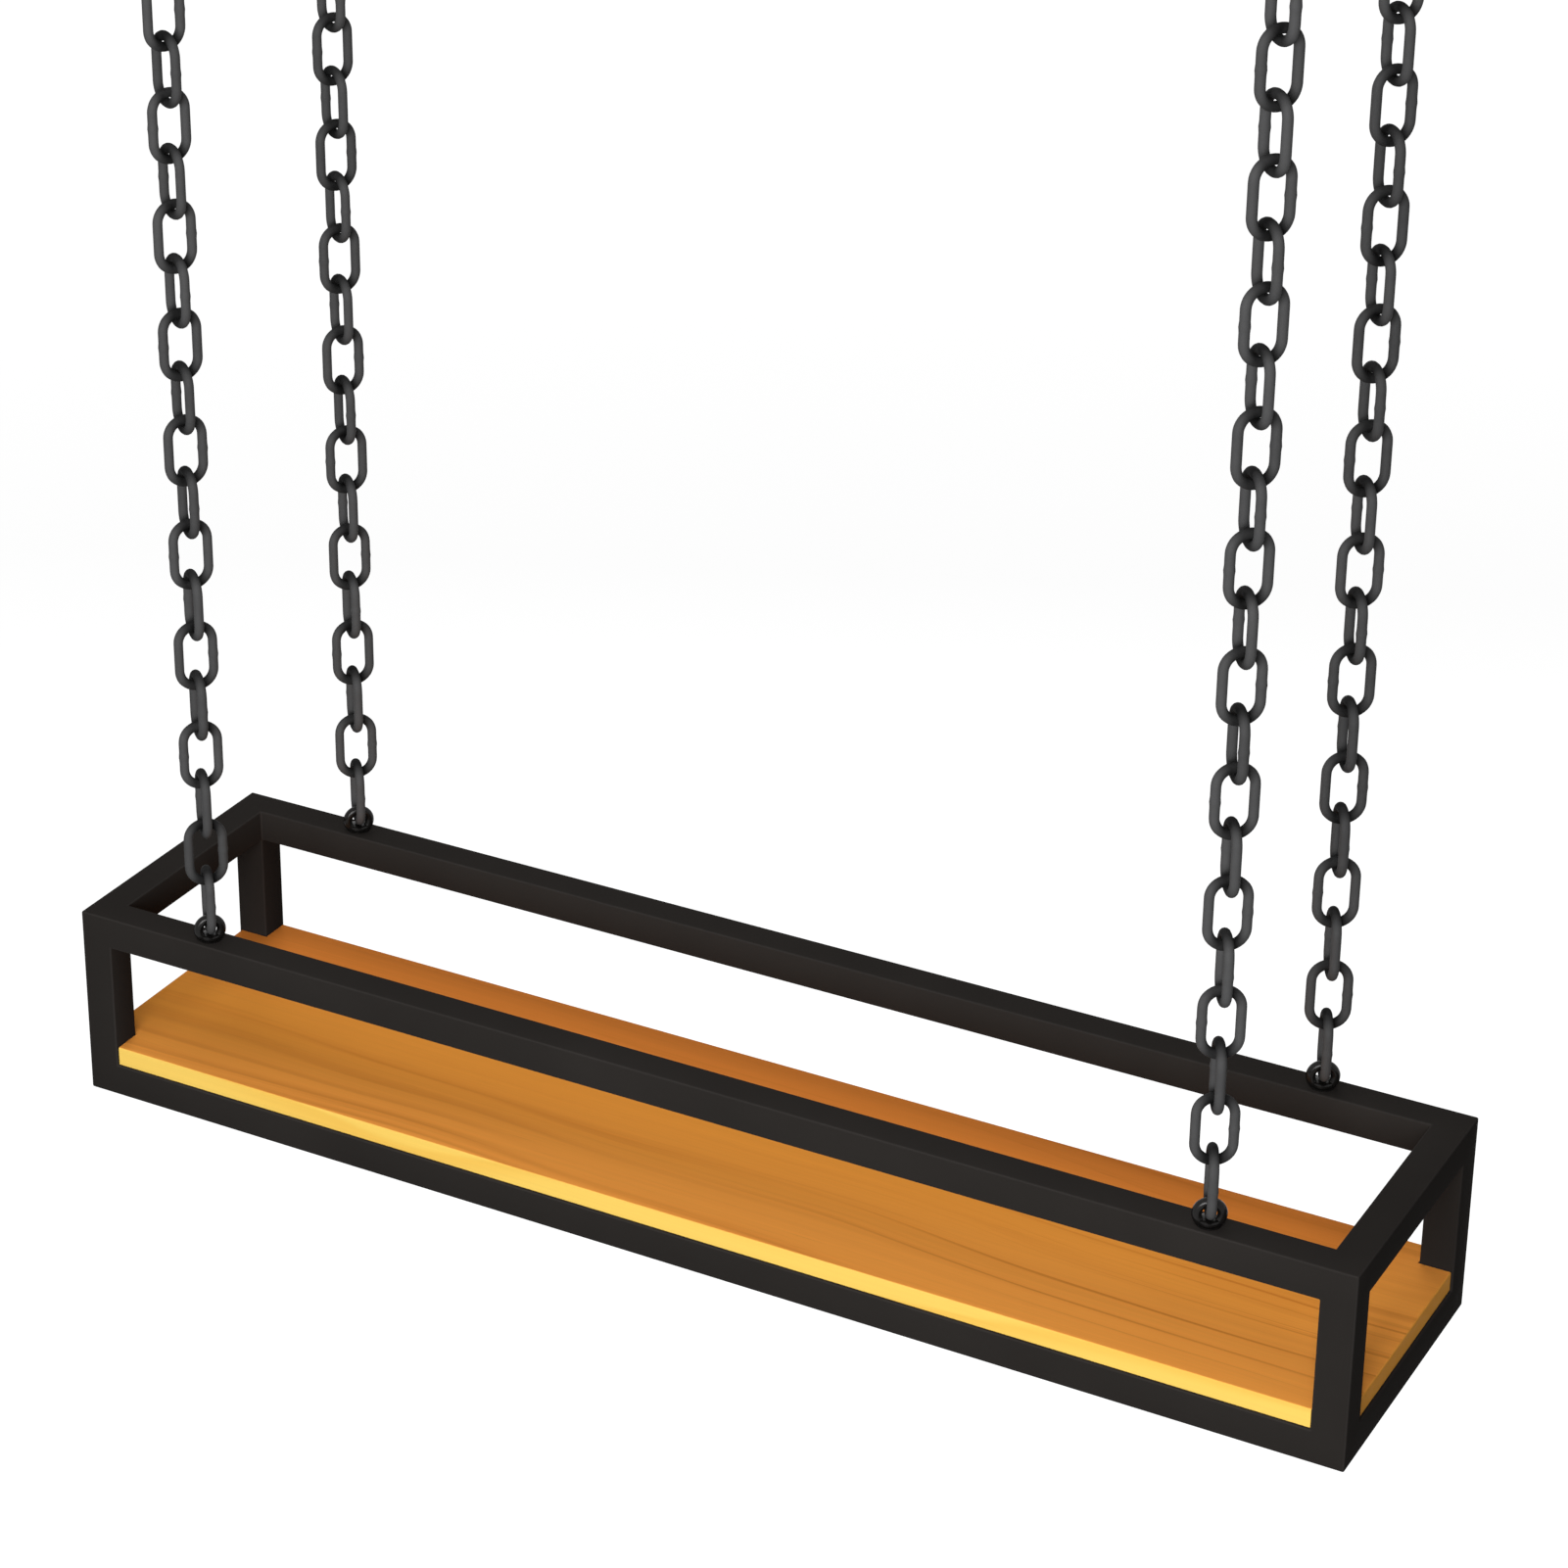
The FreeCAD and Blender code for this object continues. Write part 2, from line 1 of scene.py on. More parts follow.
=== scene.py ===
"""Dresses a hanging ceiling rack: a welded tube frame with a wooden board, hung on four chains."""

import logging
from collections.abc import Callable
from dataclasses import dataclass
from enum import Enum
from itertools import product
from math import cos, pi, radians, sin, sqrt, tan
from typing import Any

import bmesh
import bpy
from bmesh.types import BMEdge, BMesh
from bpy.types import ID, Material, Mesh, Node, NodeSocket, NodeTree, Object
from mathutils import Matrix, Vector


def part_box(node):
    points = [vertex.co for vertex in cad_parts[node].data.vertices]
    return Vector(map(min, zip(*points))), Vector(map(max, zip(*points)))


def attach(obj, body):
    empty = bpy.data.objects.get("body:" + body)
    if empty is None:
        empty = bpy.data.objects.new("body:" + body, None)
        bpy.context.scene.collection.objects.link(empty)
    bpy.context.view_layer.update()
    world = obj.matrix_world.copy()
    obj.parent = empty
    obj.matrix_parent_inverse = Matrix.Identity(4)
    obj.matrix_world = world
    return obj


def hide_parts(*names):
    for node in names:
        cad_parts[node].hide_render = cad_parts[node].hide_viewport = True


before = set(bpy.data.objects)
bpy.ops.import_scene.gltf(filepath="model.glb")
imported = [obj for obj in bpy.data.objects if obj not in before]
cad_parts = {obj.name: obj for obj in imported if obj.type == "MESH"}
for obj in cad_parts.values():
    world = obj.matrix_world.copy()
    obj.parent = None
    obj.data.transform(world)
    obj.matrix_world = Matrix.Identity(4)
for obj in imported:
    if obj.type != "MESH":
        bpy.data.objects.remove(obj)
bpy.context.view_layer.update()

LOG = logging.getLogger("hanging_rack")

Colour = tuple[float, float, float, float]
Point = tuple[float, float, float]
Radius = float | Callable[[float], float]
Settings = dict[str, Any] | None
Sockets = dict[str | int, Any] | None


class Side(Enum):
    """The two ends of the rack, by the sign of X."""

    LEFT = "left"
    RIGHT = "right"


class Row(Enum):
    """The two long sides of the rack, by the sign of Y."""

    FRONT = "front"
    BACK = "back"


class InputKind(Enum):
    """The kinds of input that a maker tree has."""

    LENGTH = "NodeSocketFloat"
    COUNT = "NodeSocketInt"
    PLACE = "NodeSocketVector"
    FINISH = "NodeSocketMaterial"


CORNERS = [f"{row.value}_{side.value}" for row, side in product(Row, Side)]

# Turns about the vertical, in degrees: of the eyes at each end, and of each link from the one below
EYE_TURN = {Side.LEFT: 43.0, Side.RIGHT: 27.0}
LINK_TURN = 91.4


def operator(operation: str, swapped: bool = False) -> Callable[["Field", "Field | float"], "Field"]:
    """Makes an operator that adds one Math node, with the field on its right if it is swapped."""
    return lambda field, other: field.net.math(operation, *((other, field) if swapped else (field, other)))


class Field:
    """An output of a node that takes part in arithmetic: each operator adds one Math node."""

    __add__, __radd__ = operator("ADD"), operator("ADD", swapped=True)
    __sub__, __rsub__ = operator("SUBTRACT"), operator("SUBTRACT", swapped=True)
    __mul__, __rmul__ = operator("MULTIPLY"), operator("MULTIPLY", swapped=True)

    def __init__(self, net: "Network", socket: NodeSocket) -> None:
        """Keeps the socket and the network that it belongs to."""
        self.net = net
        self.socket = socket

    def span(self, low: float, high: float) -> "Field":
        """Returns a value that goes from low to high as the field goes from 0 to 1."""
        return low + (high - low) * self


class Network:
    """A node tree that is built one call at a time."""

    def __init__(self, tree: NodeTree) -> None:
        """Keeps the tree that the calls add to."""
        self.tree = tree

    def node(self, kind: str, settings: Settings = None, sockets: Sockets = None) -> Node:
        """Adds a node.

        Args:
            kind: The node's type.
            settings: Its properties, which are set before its sockets.
            sockets: Values, fields or lists of fields for its inputs.

        Returns:
            The node.
        """
        node = self.tree.nodes.new(kind)
        for name, value in (settings or {}).items():
            setattr(node, name, value)
        for name, value in (sockets or {}).items():
            for item in value if isinstance(value, list) else [value]:
                if isinstance(item, Field):
                    self.tree.links.new(item.socket, node.inputs[name])
                else:
                    node.inputs[name].default_value = item
        return node

    def add(
        self, kind: str, settings: Settings = None, sockets: Sockets = None, out: str | int = 0
    ) -> Field:
        """Adds a node and returns one of its outputs as a field."""
        return Field(self, self.node(kind, settings, sockets).outputs[out])

    def math(self, operation: str, *values: Field | float, clamp: bool = False) -> Field:
        """Adds a Math node, whose result clamp holds between 0 and 1."""
        settings = {"operation": operation, "use_clamp": clamp}
        return self.add("ShaderNodeMath", settings, dict(enumerate(values)))

    def times(self, first: Field, second: Field | Point) -> Field:
        """Returns the product of two vectors or colours, part by part."""
        return self.add("ShaderNodeVectorMath", {"operation": "MULTIPLY"}, {0: first, 1: second})

    def split(self, vector: Field) -> list[Field]:
        """Returns the three parts of a vector."""
        node = self.node("ShaderNodeSeparateXYZ", sockets={0: vector})
        return [Field(self, output) for output in node.outputs]

    def join(self, *parts: Field | float) -> Field:
        """Returns a vector with the given parts."""
        return self.add("ShaderNodeCombineXYZ", sockets=dict(enumerate(parts)))

    def step(self, value: Field, low: float, high: float) -> Field:
        """Adds a smooth step of a value, which leaves 0 at low and reaches 1 at high."""
        sockets = {"Value": value, "From Min": low, "From Max": high}
        return self.add("ShaderNodeMapRange", {"interpolation_type": "SMOOTHSTEP"}, sockets)

    def seen(self) -> Field:
        """Tells what the camera sees, straight or through gloss and glass, from other light.

        Returns:
            1 for what it sees and 0 for other light.
        """
        path = self.node("ShaderNodeLightPath")
        kinds = ("Camera", "Glossy", "Transmission")
        straight, glossy, through = (Field(self, path.outputs[f"Is {kind} Ray"]) for kind in kinds)
        return self.math("MINIMUM", straight + glossy + through, 1.0)


class Paint(Network):
    """The shader network of one material."""

    def __init__(self, name: str) -> None:
        """Starts an empty material.

        Args:
            name: The material's name.
        """
        self.material = bpy.data.materials.new(name)
        self.material.use_nodes = True
        self.material.node_tree.nodes.clear()
        super().__init__(self.material.node_tree)

    def place(self, scale: Point = (1, 1, 1)) -> Field:
        """Returns the object's own coordinates, in metres, times a scale for each axis."""
        return self.times(self.add("ShaderNodeTexCoord", out="Object"), scale)

    def noise(self, where: Field, scale: float, detail: float = 2.0, rough: float = 0.5) -> Field:
        """Adds a noise from 0 to 1; detail and rough are the number and strength of its finer layers."""
        sockets = {"Vector": where, "Scale": scale, "Detail": detail, "Roughness": rough}
        return self.add("ShaderNodeTexNoise", {"normalize": True}, sockets, "Fac")

    def attribute(self, name: str) -> Field:
        """Returns a number that the mesh carries for each of its points."""
        return self.add("ShaderNodeAttribute", {"attribute_name": name}, out="Fac")

    def mix(self, first: Field | Colour, second: Field | Colour, share: Field) -> Field:
        """Returns a mix of two colours with a share of the second."""
        return self.add("ShaderNodeMix", {"data_type": "RGBA"}, {0: share, 6: first, 7: second}, 2)

    def dim(self, colour: Field, level: Field) -> Field:
        """Returns a colour times a level."""
        return self.times(colour, self.join(level, level, level))

    def bump(self, height: Field, depth: float, strength: float) -> Field:
        """Returns a normal with a relief of a depth in metres, of which a share shows."""
        sockets = {"Height": height, "Distance": depth, "Strength": strength}
        return self.add("ShaderNodeBump", sockets=sockets)

    def close(self, shader: Field) -> Material:
        """Ends the network in a shader and returns the finished material."""
        self.node("ShaderNodeOutputMaterial", sockets={"Surface": shader})
        return self.material

    def surface(self, sockets: Sockets) -> Material:
        """Ends the network in a solid surface and returns the finished material."""
        return self.close(self.add("ShaderNodeBsdfPrincipled", sockets=sockets))


@dataclass(frozen=True)
class PowderCoat:
    """Black matt powder coat, with a fine peel and a painted highlight that lightens the rounded edges,
    broken up by a wear noise.
    """

    name: str = "black_powder_coat"
    colour: Colour = (0.0238, 0.0212, 0.0194, 1.0)
    edge_highlight_colour: Colour = (0.0320, 0.0290, 0.0270, 1.0)
    roughness: float = 0.62
    specular: float = 0.003
    peel_depth: float = 0.00003

    def material(self) -> Material:
        """Builds the coat's material.

        Returns:
            The material.
        """
        paint = Paint(self.name)
        where = paint.place()
        cloud = paint.noise(where, scale=11.0, detail=3.0)
        peel = paint.noise(where, scale=900.0)
        wear = paint.noise(where, scale=45.0, detail=4.0, rough=0.6)
        # Painted highlight: the rounded edges are lightened, in patches from a wear noise, and made a
        # little glossier
        worn_edge_highlight = paint.attribute("edge") * wear.span(0.35, 1.25)
        colour = paint.mix(self.colour, self.edge_highlight_colour, worn_edge_highlight)
        return paint.surface({
            "Base Color": paint.dim(colour, cloud.span(0.8, 1.2)),
            "Roughness": self.roughness + 0.10 * cloud + 0.06 * peel - 0.12 * worn_edge_highlight,
            "Specular IOR Level": self.specular,
            "Normal": paint.bump(peel, self.peel_depth, strength=0.6),
        })


@dataclass(frozen=True)
class Grain:
    """A figure in the wood: a noise that is drawn out along the board.

    along and across count its features to a metre, and band is where it turns into a mark.
    """

    along: float
    across: float
    detail: float = 2.0
    band: tuple[float, float] = (0.0, 1.0)

    def noise(self, paint: Paint, where: Field) -> Field:
        """Adds the noise, from 0 to 1."""
        drawn = paint.times(where, (self.along, self.across, self.across))
        return paint.noise(drawn, scale=1.0, detail=self.detail, rough=0.6)

    def mark(self, paint: Paint, where: Field) -> Field:
        """Adds the noise, cut to a mark from 0 to 1."""
        return paint.step(self.noise(paint, where), *self.band)


@dataclass(frozen=True)
class OiledWood:
    """Warm orange-brown board, cut along the log, with painted light that makes the front brighter and
    yellower, and redder towards the back.
    """

    half_length: float
    half_depth: float
    pith: tuple[float, float]
    name: str = "oiled_board_wood"
    painted_light_colour: Colour = (0.960, 0.368, 0.066, 1.0)
    early: Colour = (0.740, 0.280, 0.041, 1.0)
    redder_back_colour: Colour = (0.720, 0.225, 0.038, 1.0)
    late: Colour = (0.500, 0.140, 0.018, 1.0)
    # Pale colours of the edge faces and ends, which paint a highlight along the board's edges
    lit_edge_early: Colour = (0.930, 0.620, 0.130, 1.0)
    lit_edge_late: Colour = (0.880, 0.520, 0.090, 1.0)
    lit_end_grain: Colour = (0.980, 0.430, 0.066, 1.0)
    rim: float = 0.0007
    ring_width: float = 0.0115
    slant: float = 0.018
    sway: float = 0.055
    roughness: float = 0.52
    specular: float = 0.02
    relief_depth: float = 0.00006
    swaying: Grain = Grain(1.9, 6.0)
    broad: Grain = Grain(1.0, 16.0)
    drift: Grain = Grain(1.3, 30.0)
    shown: Grain = Grain(1.8, 24.0, band=(0.42, 0.68))
    streak: Grain = Grain(1.7, 95.0, 3.0, (0.52, 0.80))
    fine: Grain = Grain(0.8, 165.0, band=(0.54, 0.66))
    fibre: Grain = Grain(5.0, 520.0, 3.0)
    pores: Grain = Grain(32.0, 1500.0, 1.0, (0.66, 0.80))

    def rings(self, paint: Paint, across: Field, up: Field, drift: Field) -> Field:
        """Marks the dark late part of each ring of the log.

        Args:
            paint: The network that it is in.
            across: How far each point is across the board, with the sway of the log.
            up: How high it is.
            drift: A noise that makes the rings uneven.

        Returns:
            The mark, from 0 to 1.
        """
        side, height = across - self.pith[0], up - self.pith[1]
        reach = paint.math("SQRT", side * side + height * height)
        turn = paint.math("FRACT", reach * (1.0 / self.ring_width) + 2.4 * drift)
        return paint.step(turn, 0.42, 0.86) * (1 - paint.step(turn, 0.86, 1.0))

    def near(self, paint: Paint, place: Field, half: float) -> Field:
        """Marks a thin rim at both ends of an axis, which lie at half, where a lighter colour paints a
        highlight along the board's edges.
        """
        return paint.step(paint.math("ABSOLUTE", place), half - self.rim, half)

    def face(self, paint: Paint, place: Field, grain: Field, late: Field) -> Field:
        """Colours the broad faces: the ground, lighter and yellower from painted light at the front and at
        the right end and redder towards the back, and dark lines that change from left to right.

        Args:
            paint: The network that it is in.
            place: The coordinates on the board.
            grain: The same with the sway of the log.
            late: The mark of the rings.

        Returns:
            The colour.
        """
        along, across, _ = paint.split(place)
        broad = self.broad.noise(paint, grain) - 0.5
        depth = across * (0.5 / self.half_depth) + 0.5 + 0.30 * broad - 0.30 * along
        forward = 0.35 + 0.65 * (1 - paint.step(depth, 0.30, 0.62))
        right = paint.step(along, -0.10, 0.28)
        # Painted light: the ground is lighter and yellower towards the front, and redder towards the back
        ground = paint.mix(self.early, self.painted_light_colour, 1 - paint.step(depth, 0.05, 0.52))
        ground = paint.mix(ground, self.redder_back_colour, paint.step(depth, 0.55, 0.85))
        # Painted light: the ground is lightened again at the right end of the board
        ground = paint.mix(ground, self.painted_light_colour, 0.8 * paint.step(along, 0.330, 0.385))
        rings = late * self.shown.mark(paint, place).span(0.05, 0.37) * forward
        streaks = 0.34 * self.streak.mark(paint, grain)
        lines = rings + streaks + 0.60 * self.fine.mark(paint, grain) * right * forward
        return paint.mix(ground, self.late, paint.math("MINIMUM", lines, 1.0))

    def material(self) -> Material:
        """Builds the wood's material.

        Returns:
            The material.
        """
        paint = Paint(self.name)
        place = paint.place()
        along, across, up = paint.split(place)
        swayed = across + self.slant * along + self.sway * (self.swaying.noise(paint, place) - 0.5)
        late = self.rings(paint, swayed, up, self.drift.noise(paint, place))
        fibre = self.fibre.noise(paint, place)
        pores = self.pores.mark(paint, place)
        face = paint.dim(self.face(paint, place, paint.join(along, swayed, up), late), 1 - 0.10 * pores)
        # Painted highlight: the long edge faces, the ends and a thin rim of the top along them are pale
        edge = paint.mix(self.lit_edge_early, self.lit_edge_late, late * 0.7)
        colour = paint.mix(face, edge, self.near(paint, across, self.half_depth))
        colour = paint.mix(colour, self.lit_end_grain, self.near(paint, along, self.half_length))
        relief = 0.6 * fibre - 0.5 * pores - 0.3 * late
        return paint.surface({
            "Base Color": paint.dim(colour, fibre.span(0.93, 1.07)),
            "Roughness": self.roughness + 0.14 * fibre - 0.06 * late,
            "Specular IOR Level": self.specular,
            "Normal": paint.bump(relief, self.relief_depth, strength=0.5),
        })


@dataclass(frozen=True)
class ChainCoat:
    """Dark grey satin coat on bent wire, with painted shade that darkens it nearly to black where links
    bear on each other.
    """

    name: str = "dark_chain_coat"
    colour: Colour = (0.070, 0.070, 0.071, 1.0)
    contact_shade_colour: Colour = (0.006, 0.006, 0.006, 1.0)
    roughness: float = 0.52
    specular: float = 0.02
    pit_depth: float = 0.00002

    def material(self) -> Material:
        """Builds the coat's material.

        Returns:
            The material.
        """
        paint = Paint(self.name)
        where = paint.place()
        blotch = paint.noise(where, scale=85.0, detail=3.0, rough=0.6)
        pitting = paint.noise(where, scale=750.0, rough=0.6)
        # Painted shade: the link ends where other links bear on them are darkened nearly to black, in
        # patches from a noise
        painted_contact_shade = paint.attribute("contact") * paint.step(blotch, 0.30, 0.70).span(0.70, 1.0)
        colour = paint.mix(self.colour, self.contact_shade_colour, painted_contact_shade)
        level = 0.72 + 0.30 * blotch + 0.22 * paint.attribute("tone")
        return paint.surface({
            "Base Color": paint.dim(colour, level),
            "Roughness": self.roughness + 0.12 * pitting + 0.15 * painted_contact_shade,
            "Specular IOR Level": self.specular,
            "Normal": paint.bump(pitting, self.pit_depth, strength=0.35),
        })


@dataclass(frozen=True)
class GlossBlack:
    """Bright black plating of the eye bolts."""

    name: str = "gloss_black_plating"
    colour: Colour = (0.0060, 0.0054, 0.0050, 1.0)
    worn_colour: Colour = (0.030, 0.025, 0.020, 1.0)
    roughness: float = 0.18
    specular: float = 0.16
    coat: float = 0.05
    coat_roughness: float = 0.08
    smear_depth: float = 0.00008

    def material(self) -> Material:
        """Builds the plating's material.

        Returns:
            The material.
        """
        paint = Paint(self.name)
        where = paint.place()
        smear = paint.noise(where, scale=160.0, detail=3.0, rough=0.6)
        worn = paint.step(paint.noise(where, scale=420.0, detail=4.0, rough=0.6), 0.60, 0.80)
        return paint.surface({
            "Base Color": paint.mix(self.colour, self.worn_colour, 0.5 * worn),
            "Roughness": self.roughness + 0.12 * smear + 0.10 * worn,
            "Specular IOR Level": self.specular,
            "Coat Weight": self.coat,
            "Coat Roughness": self.coat_roughness,
            "Normal": paint.bump(smear, self.smear_depth, strength=0.3),
        })


@dataclass(frozen=True)
class ZincPlate:
    """Zinc plate with a faint blue and yellow cast and a fine drawn grain."""

    name: str = "zinc_plate"
    blue: Colour = (0.540, 0.560, 0.590, 1.0)
    yellow: Colour = (0.600, 0.580, 0.520, 1.0)
    roughness: float = 0.30
    grain_depth: float = 0.00002

    def material(self) -> Material:
        """Builds the plate's material.

        Returns:
            The material.
        """
        paint = Paint(self.name)
        cast = paint.noise(paint.place(), scale=130.0, detail=3.0, rough=0.6)
        drawn = paint.noise(paint.place((1.0, 1.0, 9.0)), scale=700.0)
        return paint.surface({
            "Base Color": paint.mix(self.blue, self.yellow, cast),
            "Metallic": 1.0,
            "Roughness": self.roughness + 0.14 * drawn + 0.08 * cast,
            "Normal": paint.bump(drawn, self.grain_depth, strength=0.4),
        })


@dataclass(frozen=True)
class PaleFloor:
    """Pale floor that reads as white to the camera and keeps a soft shadow."""

    name: str = "pale_floor"
    colour: Colour = (0.30, 0.30, 0.30, 1.0)
    mottle_colour: Colour = (0.0, 0.0, 0.0, 1.0)
    glow: float = 0.90
    far_glow: float = 0.14
    far_band: tuple[float, float] = (1.5, 9.0)

    def material(self) -> Material:
        """Builds the floor's material.

        Returns:
            The material.
        """
        paint = Paint(self.name)
        mottle = paint.noise(paint.place(), scale=3.0)
        pale = paint.mix(self.colour, self.mottle_colour, 0.02 * mottle)
        matt = paint.add("ShaderNodeBsdfDiffuse", sockets={"Color": pale})
        level_place = {0: paint.place((1, 1, 0))}
        reach = paint.add("ShaderNodeVectorMath", {"operation": "LENGTH"}, level_place, "Value")
        strength = paint.seen() * (self.glow + self.far_glow * paint.step(reach, *self.far_band))
        glow = paint.add("ShaderNodeEmission", sockets={"Strength": strength})
        return paint.close(paint.add("ShaderNodeAddShader", sockets={0: matt, 1: glow}))


class MakerTree(Network):
    """A Geometry Nodes tree with named inputs that ends in one plain mesh."""

    def __init__(self, name: str) -> None:
        """Starts a tree with a geometry input and a geometry output.

        Args:
            name: The tree's name.
        """
        super().__init__(bpy.data.node_groups.new(name, "GeometryNodeTree"))
        for direction in ("INPUT", "OUTPUT"):
            self.tree.interface.new_socket("Geometry", in_out=direction, socket_type="NodeSocketGeometry")
        self.entry = self.node("NodeGroupInput")

    def shape(self) -> Field:
        """Returns the geometry that the tree is given."""
        return Field(self, self.entry.outputs["Geometry"])

    def input(self, name: str, kind: InputKind = InputKind.LENGTH) -> Field:
        """Adds a named input of a kind and returns it as a field."""
        self.tree.interface.new_socket(name, in_out="INPUT", socket_type=kind.value)
        return Field(self, self.entry.outputs[name])

    def store(self, geometry: Field, name: str, value: Field) -> Field:
        """Returns a geometry with a number for each point, which materials read by its name."""
        settings = {"data_type": "FLOAT", "domain": "POINT"}
        return self.add("GeometryNodeStoreNamedAttribute", settings, {
            "Geometry": geometry, "Name": name, "Value": value,
        })

    def sweep(self, curve: Field, radius: Field, corners: int, sockets: dict[str, Any]) -> Field:
        """Sweeps a round profile along a curve.

        Args:
            curve: The curve.
            radius: The profile's radius.
            corners: How many points the profile has.
            sockets: The other inputs of the sweep.

        Returns:
            The mesh.
        """
        circle = {"Resolution": corners, "Radius": radius}
        profile = self.add("GeometryNodeCurvePrimitiveCircle", {"mode": "RADIUS"}, circle)
        inputs = {"Curve": curve, "Profile Curve": profile, **sockets}
        return self.add("GeometryNodeCurveToMesh", sockets=inputs)

    def copy(self, points: Field, shape: Field, angle: Field) -> None:
        """Ends the tree in copies of a shape.

        Args:
            points: Where they are.
            shape: What is copied.
            angle: The turn of each about the vertical, in radians.
        """
        about = {"Axis": (0.0, 0.0, 1.0), "Angle": angle}
        turn = self.add("FunctionNodeAxisAngleToRotation", sockets=about)
        copies = {"Points": points, "Instance": shape, "Rotation": turn}
        self.close(self.add("GeometryNodeInstanceOnPoints", sockets=copies))

    def copy_on_grid(self, shape: Field) -> None:
        """Ends the tree in copies of a shape on a level grid.

        Args:
            shape: What is copied.
        """
        grid = self.add("GeometryNodeMeshGrid", sockets={
            "Size X": self.input("Spacing X"), "Size Y": self.input("Spacing Y"),
            "Vertices X": self.input("Columns", InputKind.COUNT),
            "Vertices Y": self.input("Rows", InputKind.COUNT),
        })
        places = self.add("GeometryNodeTransform", sockets={
            "Geometry": grid, "Translation": self.input("Middle", InputKind.PLACE),
        })
        self.copy(places, shape, self.input("Turn"))

    def close(self, geometry: Field) -> None:
        """Ends the tree in real meshes with the finish that is given.

        Args:
            geometry: What the tree has made.
        """
        finish = self.input("Finish", InputKind.FINISH)
        real = self.add("GeometryNodeRealizeInstances", sockets={"Geometry": geometry})
        dressed = self.add("GeometryNodeSetMaterial", sockets={"Geometry": real, "Material": finish})
        self.node("NodeGroupOutput", sockets={"Geometry": dressed})

    def run(self, name: str, values: dict[str, Any], mesh: Mesh | None = None) -> Object:
        """Makes a piece.

        Args:
            name: The piece's name.
            values: The tree's inputs, by name.
            mesh: The geometry that the tree starts from, where it needs one.

        Returns:
            An object with a plain mesh and no modifier.
        """
        holder = put(f"{name}_maker", mesh or bpy.data.meshes.new(f"{name}_start"))
        modifier = holder.modifiers.new("maker", "NODES")
        modifier.node_group = self.tree
        for item in self.tree.interface.items_tree:
            if item.in_out == "INPUT" and item.name in values:
                modifier[item.identifier] = values[item.name]
        made = plain_mesh(holder)
        bpy.data.objects.remove(holder)
        return add_piece(name, made)


def plain_mesh(piece: Object) -> Mesh:
    """Returns a plain mesh of a piece with its modifiers, and leaves the piece as it is."""
    graph = bpy.context.evaluated_depsgraph_get()
    return bpy.data.meshes.new_from_object(
        piece.evaluated_get(graph), preserve_all_data_layers=True, depsgraph=graph
    )


def put(name: str, data: ID) -> Object:
    """Puts a mesh, a lamp or a camera into the scene.

    Args:
        name: The object's name.
        data: What it shows.

    Returns:
        The object.
    """
    thing = bpy.data.objects.new(name, data)
    bpy.context.scene.collection.objects.link(thing)
    return thing


def add_piece(name: str, mesh: Mesh) -> Object:
    """Puts a mesh into the scene with its faces pointing outwards.

    Args:
        name: The piece's name.
        mesh: Its mesh, in place.

    Returns:
        The piece.
    """
    shell = bmesh.new()
    shell.from_mesh(mesh)
    bmesh.ops.remove_doubles(shell, verts=shell.verts, dist=1e-7)
    bmesh.ops.recalc_face_normals(shell, faces=shell.faces)
    shell.to_mesh(mesh)
    shell.free()
    mesh.name = name
    return put(name, mesh)


def settle(piece: Object, body: str, nodes: list[str]) -> None:
    """Makes a piece ride on a body and stand for its nodes.

    Args:
        piece: The piece.
        body: The body that it moves with.
        nodes: The nodes that it stands for.
    """
    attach(piece, body)
    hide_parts(*nodes)
    LOG.info("%s: %d faces, on %s", piece.name, len(piece.data.polygons), body)


def dress(node: str, material: Material) -> None:
    """Gives a node of the frame its material.

    Args:
        node: The node's name.
        material: What its slots are filled with.
    """
    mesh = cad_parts[node].data
    for index in range(len(mesh.materials)):
        mesh.materials[index] = material
    if not mesh.materials:
        mesh.materials.append(material)
    LOG.info("%s: dressed in %s", node, material.name)


def middle(node: str) -> Vector:
    """Returns the middle of a node's box."""
    low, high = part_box(node)
    return (low + high) / 2


def turns(steps: int) -> list[float]:
    """Returns the angles of even steps round a circle."""
    return [2 * pi * step / steps for step in range(steps)]


def ring(radius: Radius, height: float, steps: int) -> list[Vector]:
    """Returns a level ring of points, whose radius may be a function of the angle."""
    reach = radius if callable(radius) else lambda angle: radius
    return [Vector((reach(t) * cos(t), reach(t) * sin(t), height)) for t in turns(steps)]


def hexagon(across_flats: float, limit: float) -> Radius:
    """Returns the radius at each angle of a hexagon whose corners are cut back to a circle, limit."""
    return lambda angle: min(across_flats / 2 / cos((angle % (pi / 3)) - pi / 6), limit)


def skin(shell: BMesh, rings: list[list[Vector]], loop: bool = False) -> None:
    """Joins rings of points into a closed shell.

    Args:
        shell: The mesh that it is added to.
        rings: Rings of as many points each.
        loop: Whether the last ring meets the first one; if not, both ends are capped.
    """
    rows = [[shell.verts.new(point) for point in points] for points in rings]
    pairs = list(zip(rows, rows[1:]))
    if loop:
        pairs.append((rows[-1], rows[0]))
    for first, second in pairs:
        for index in range(len(first)):
            after = (index + 1) % len(first)
            shell.faces.new((first[index], first[after], second[after], second[index]))
    if not loop:
        shell.faces.new(rows[0])
        shell.faces.new(rows[-1])


def turn_profile(
    shell: BMesh, profile: list[tuple[Radius, float]], steps: int, loop: bool = False
) -> None:
    """Turns a profile of radii and heights about the vertical, and joins its rings as skin does."""
    skin(shell, [ring(radius, height, steps) for radius, height in profile], loop)


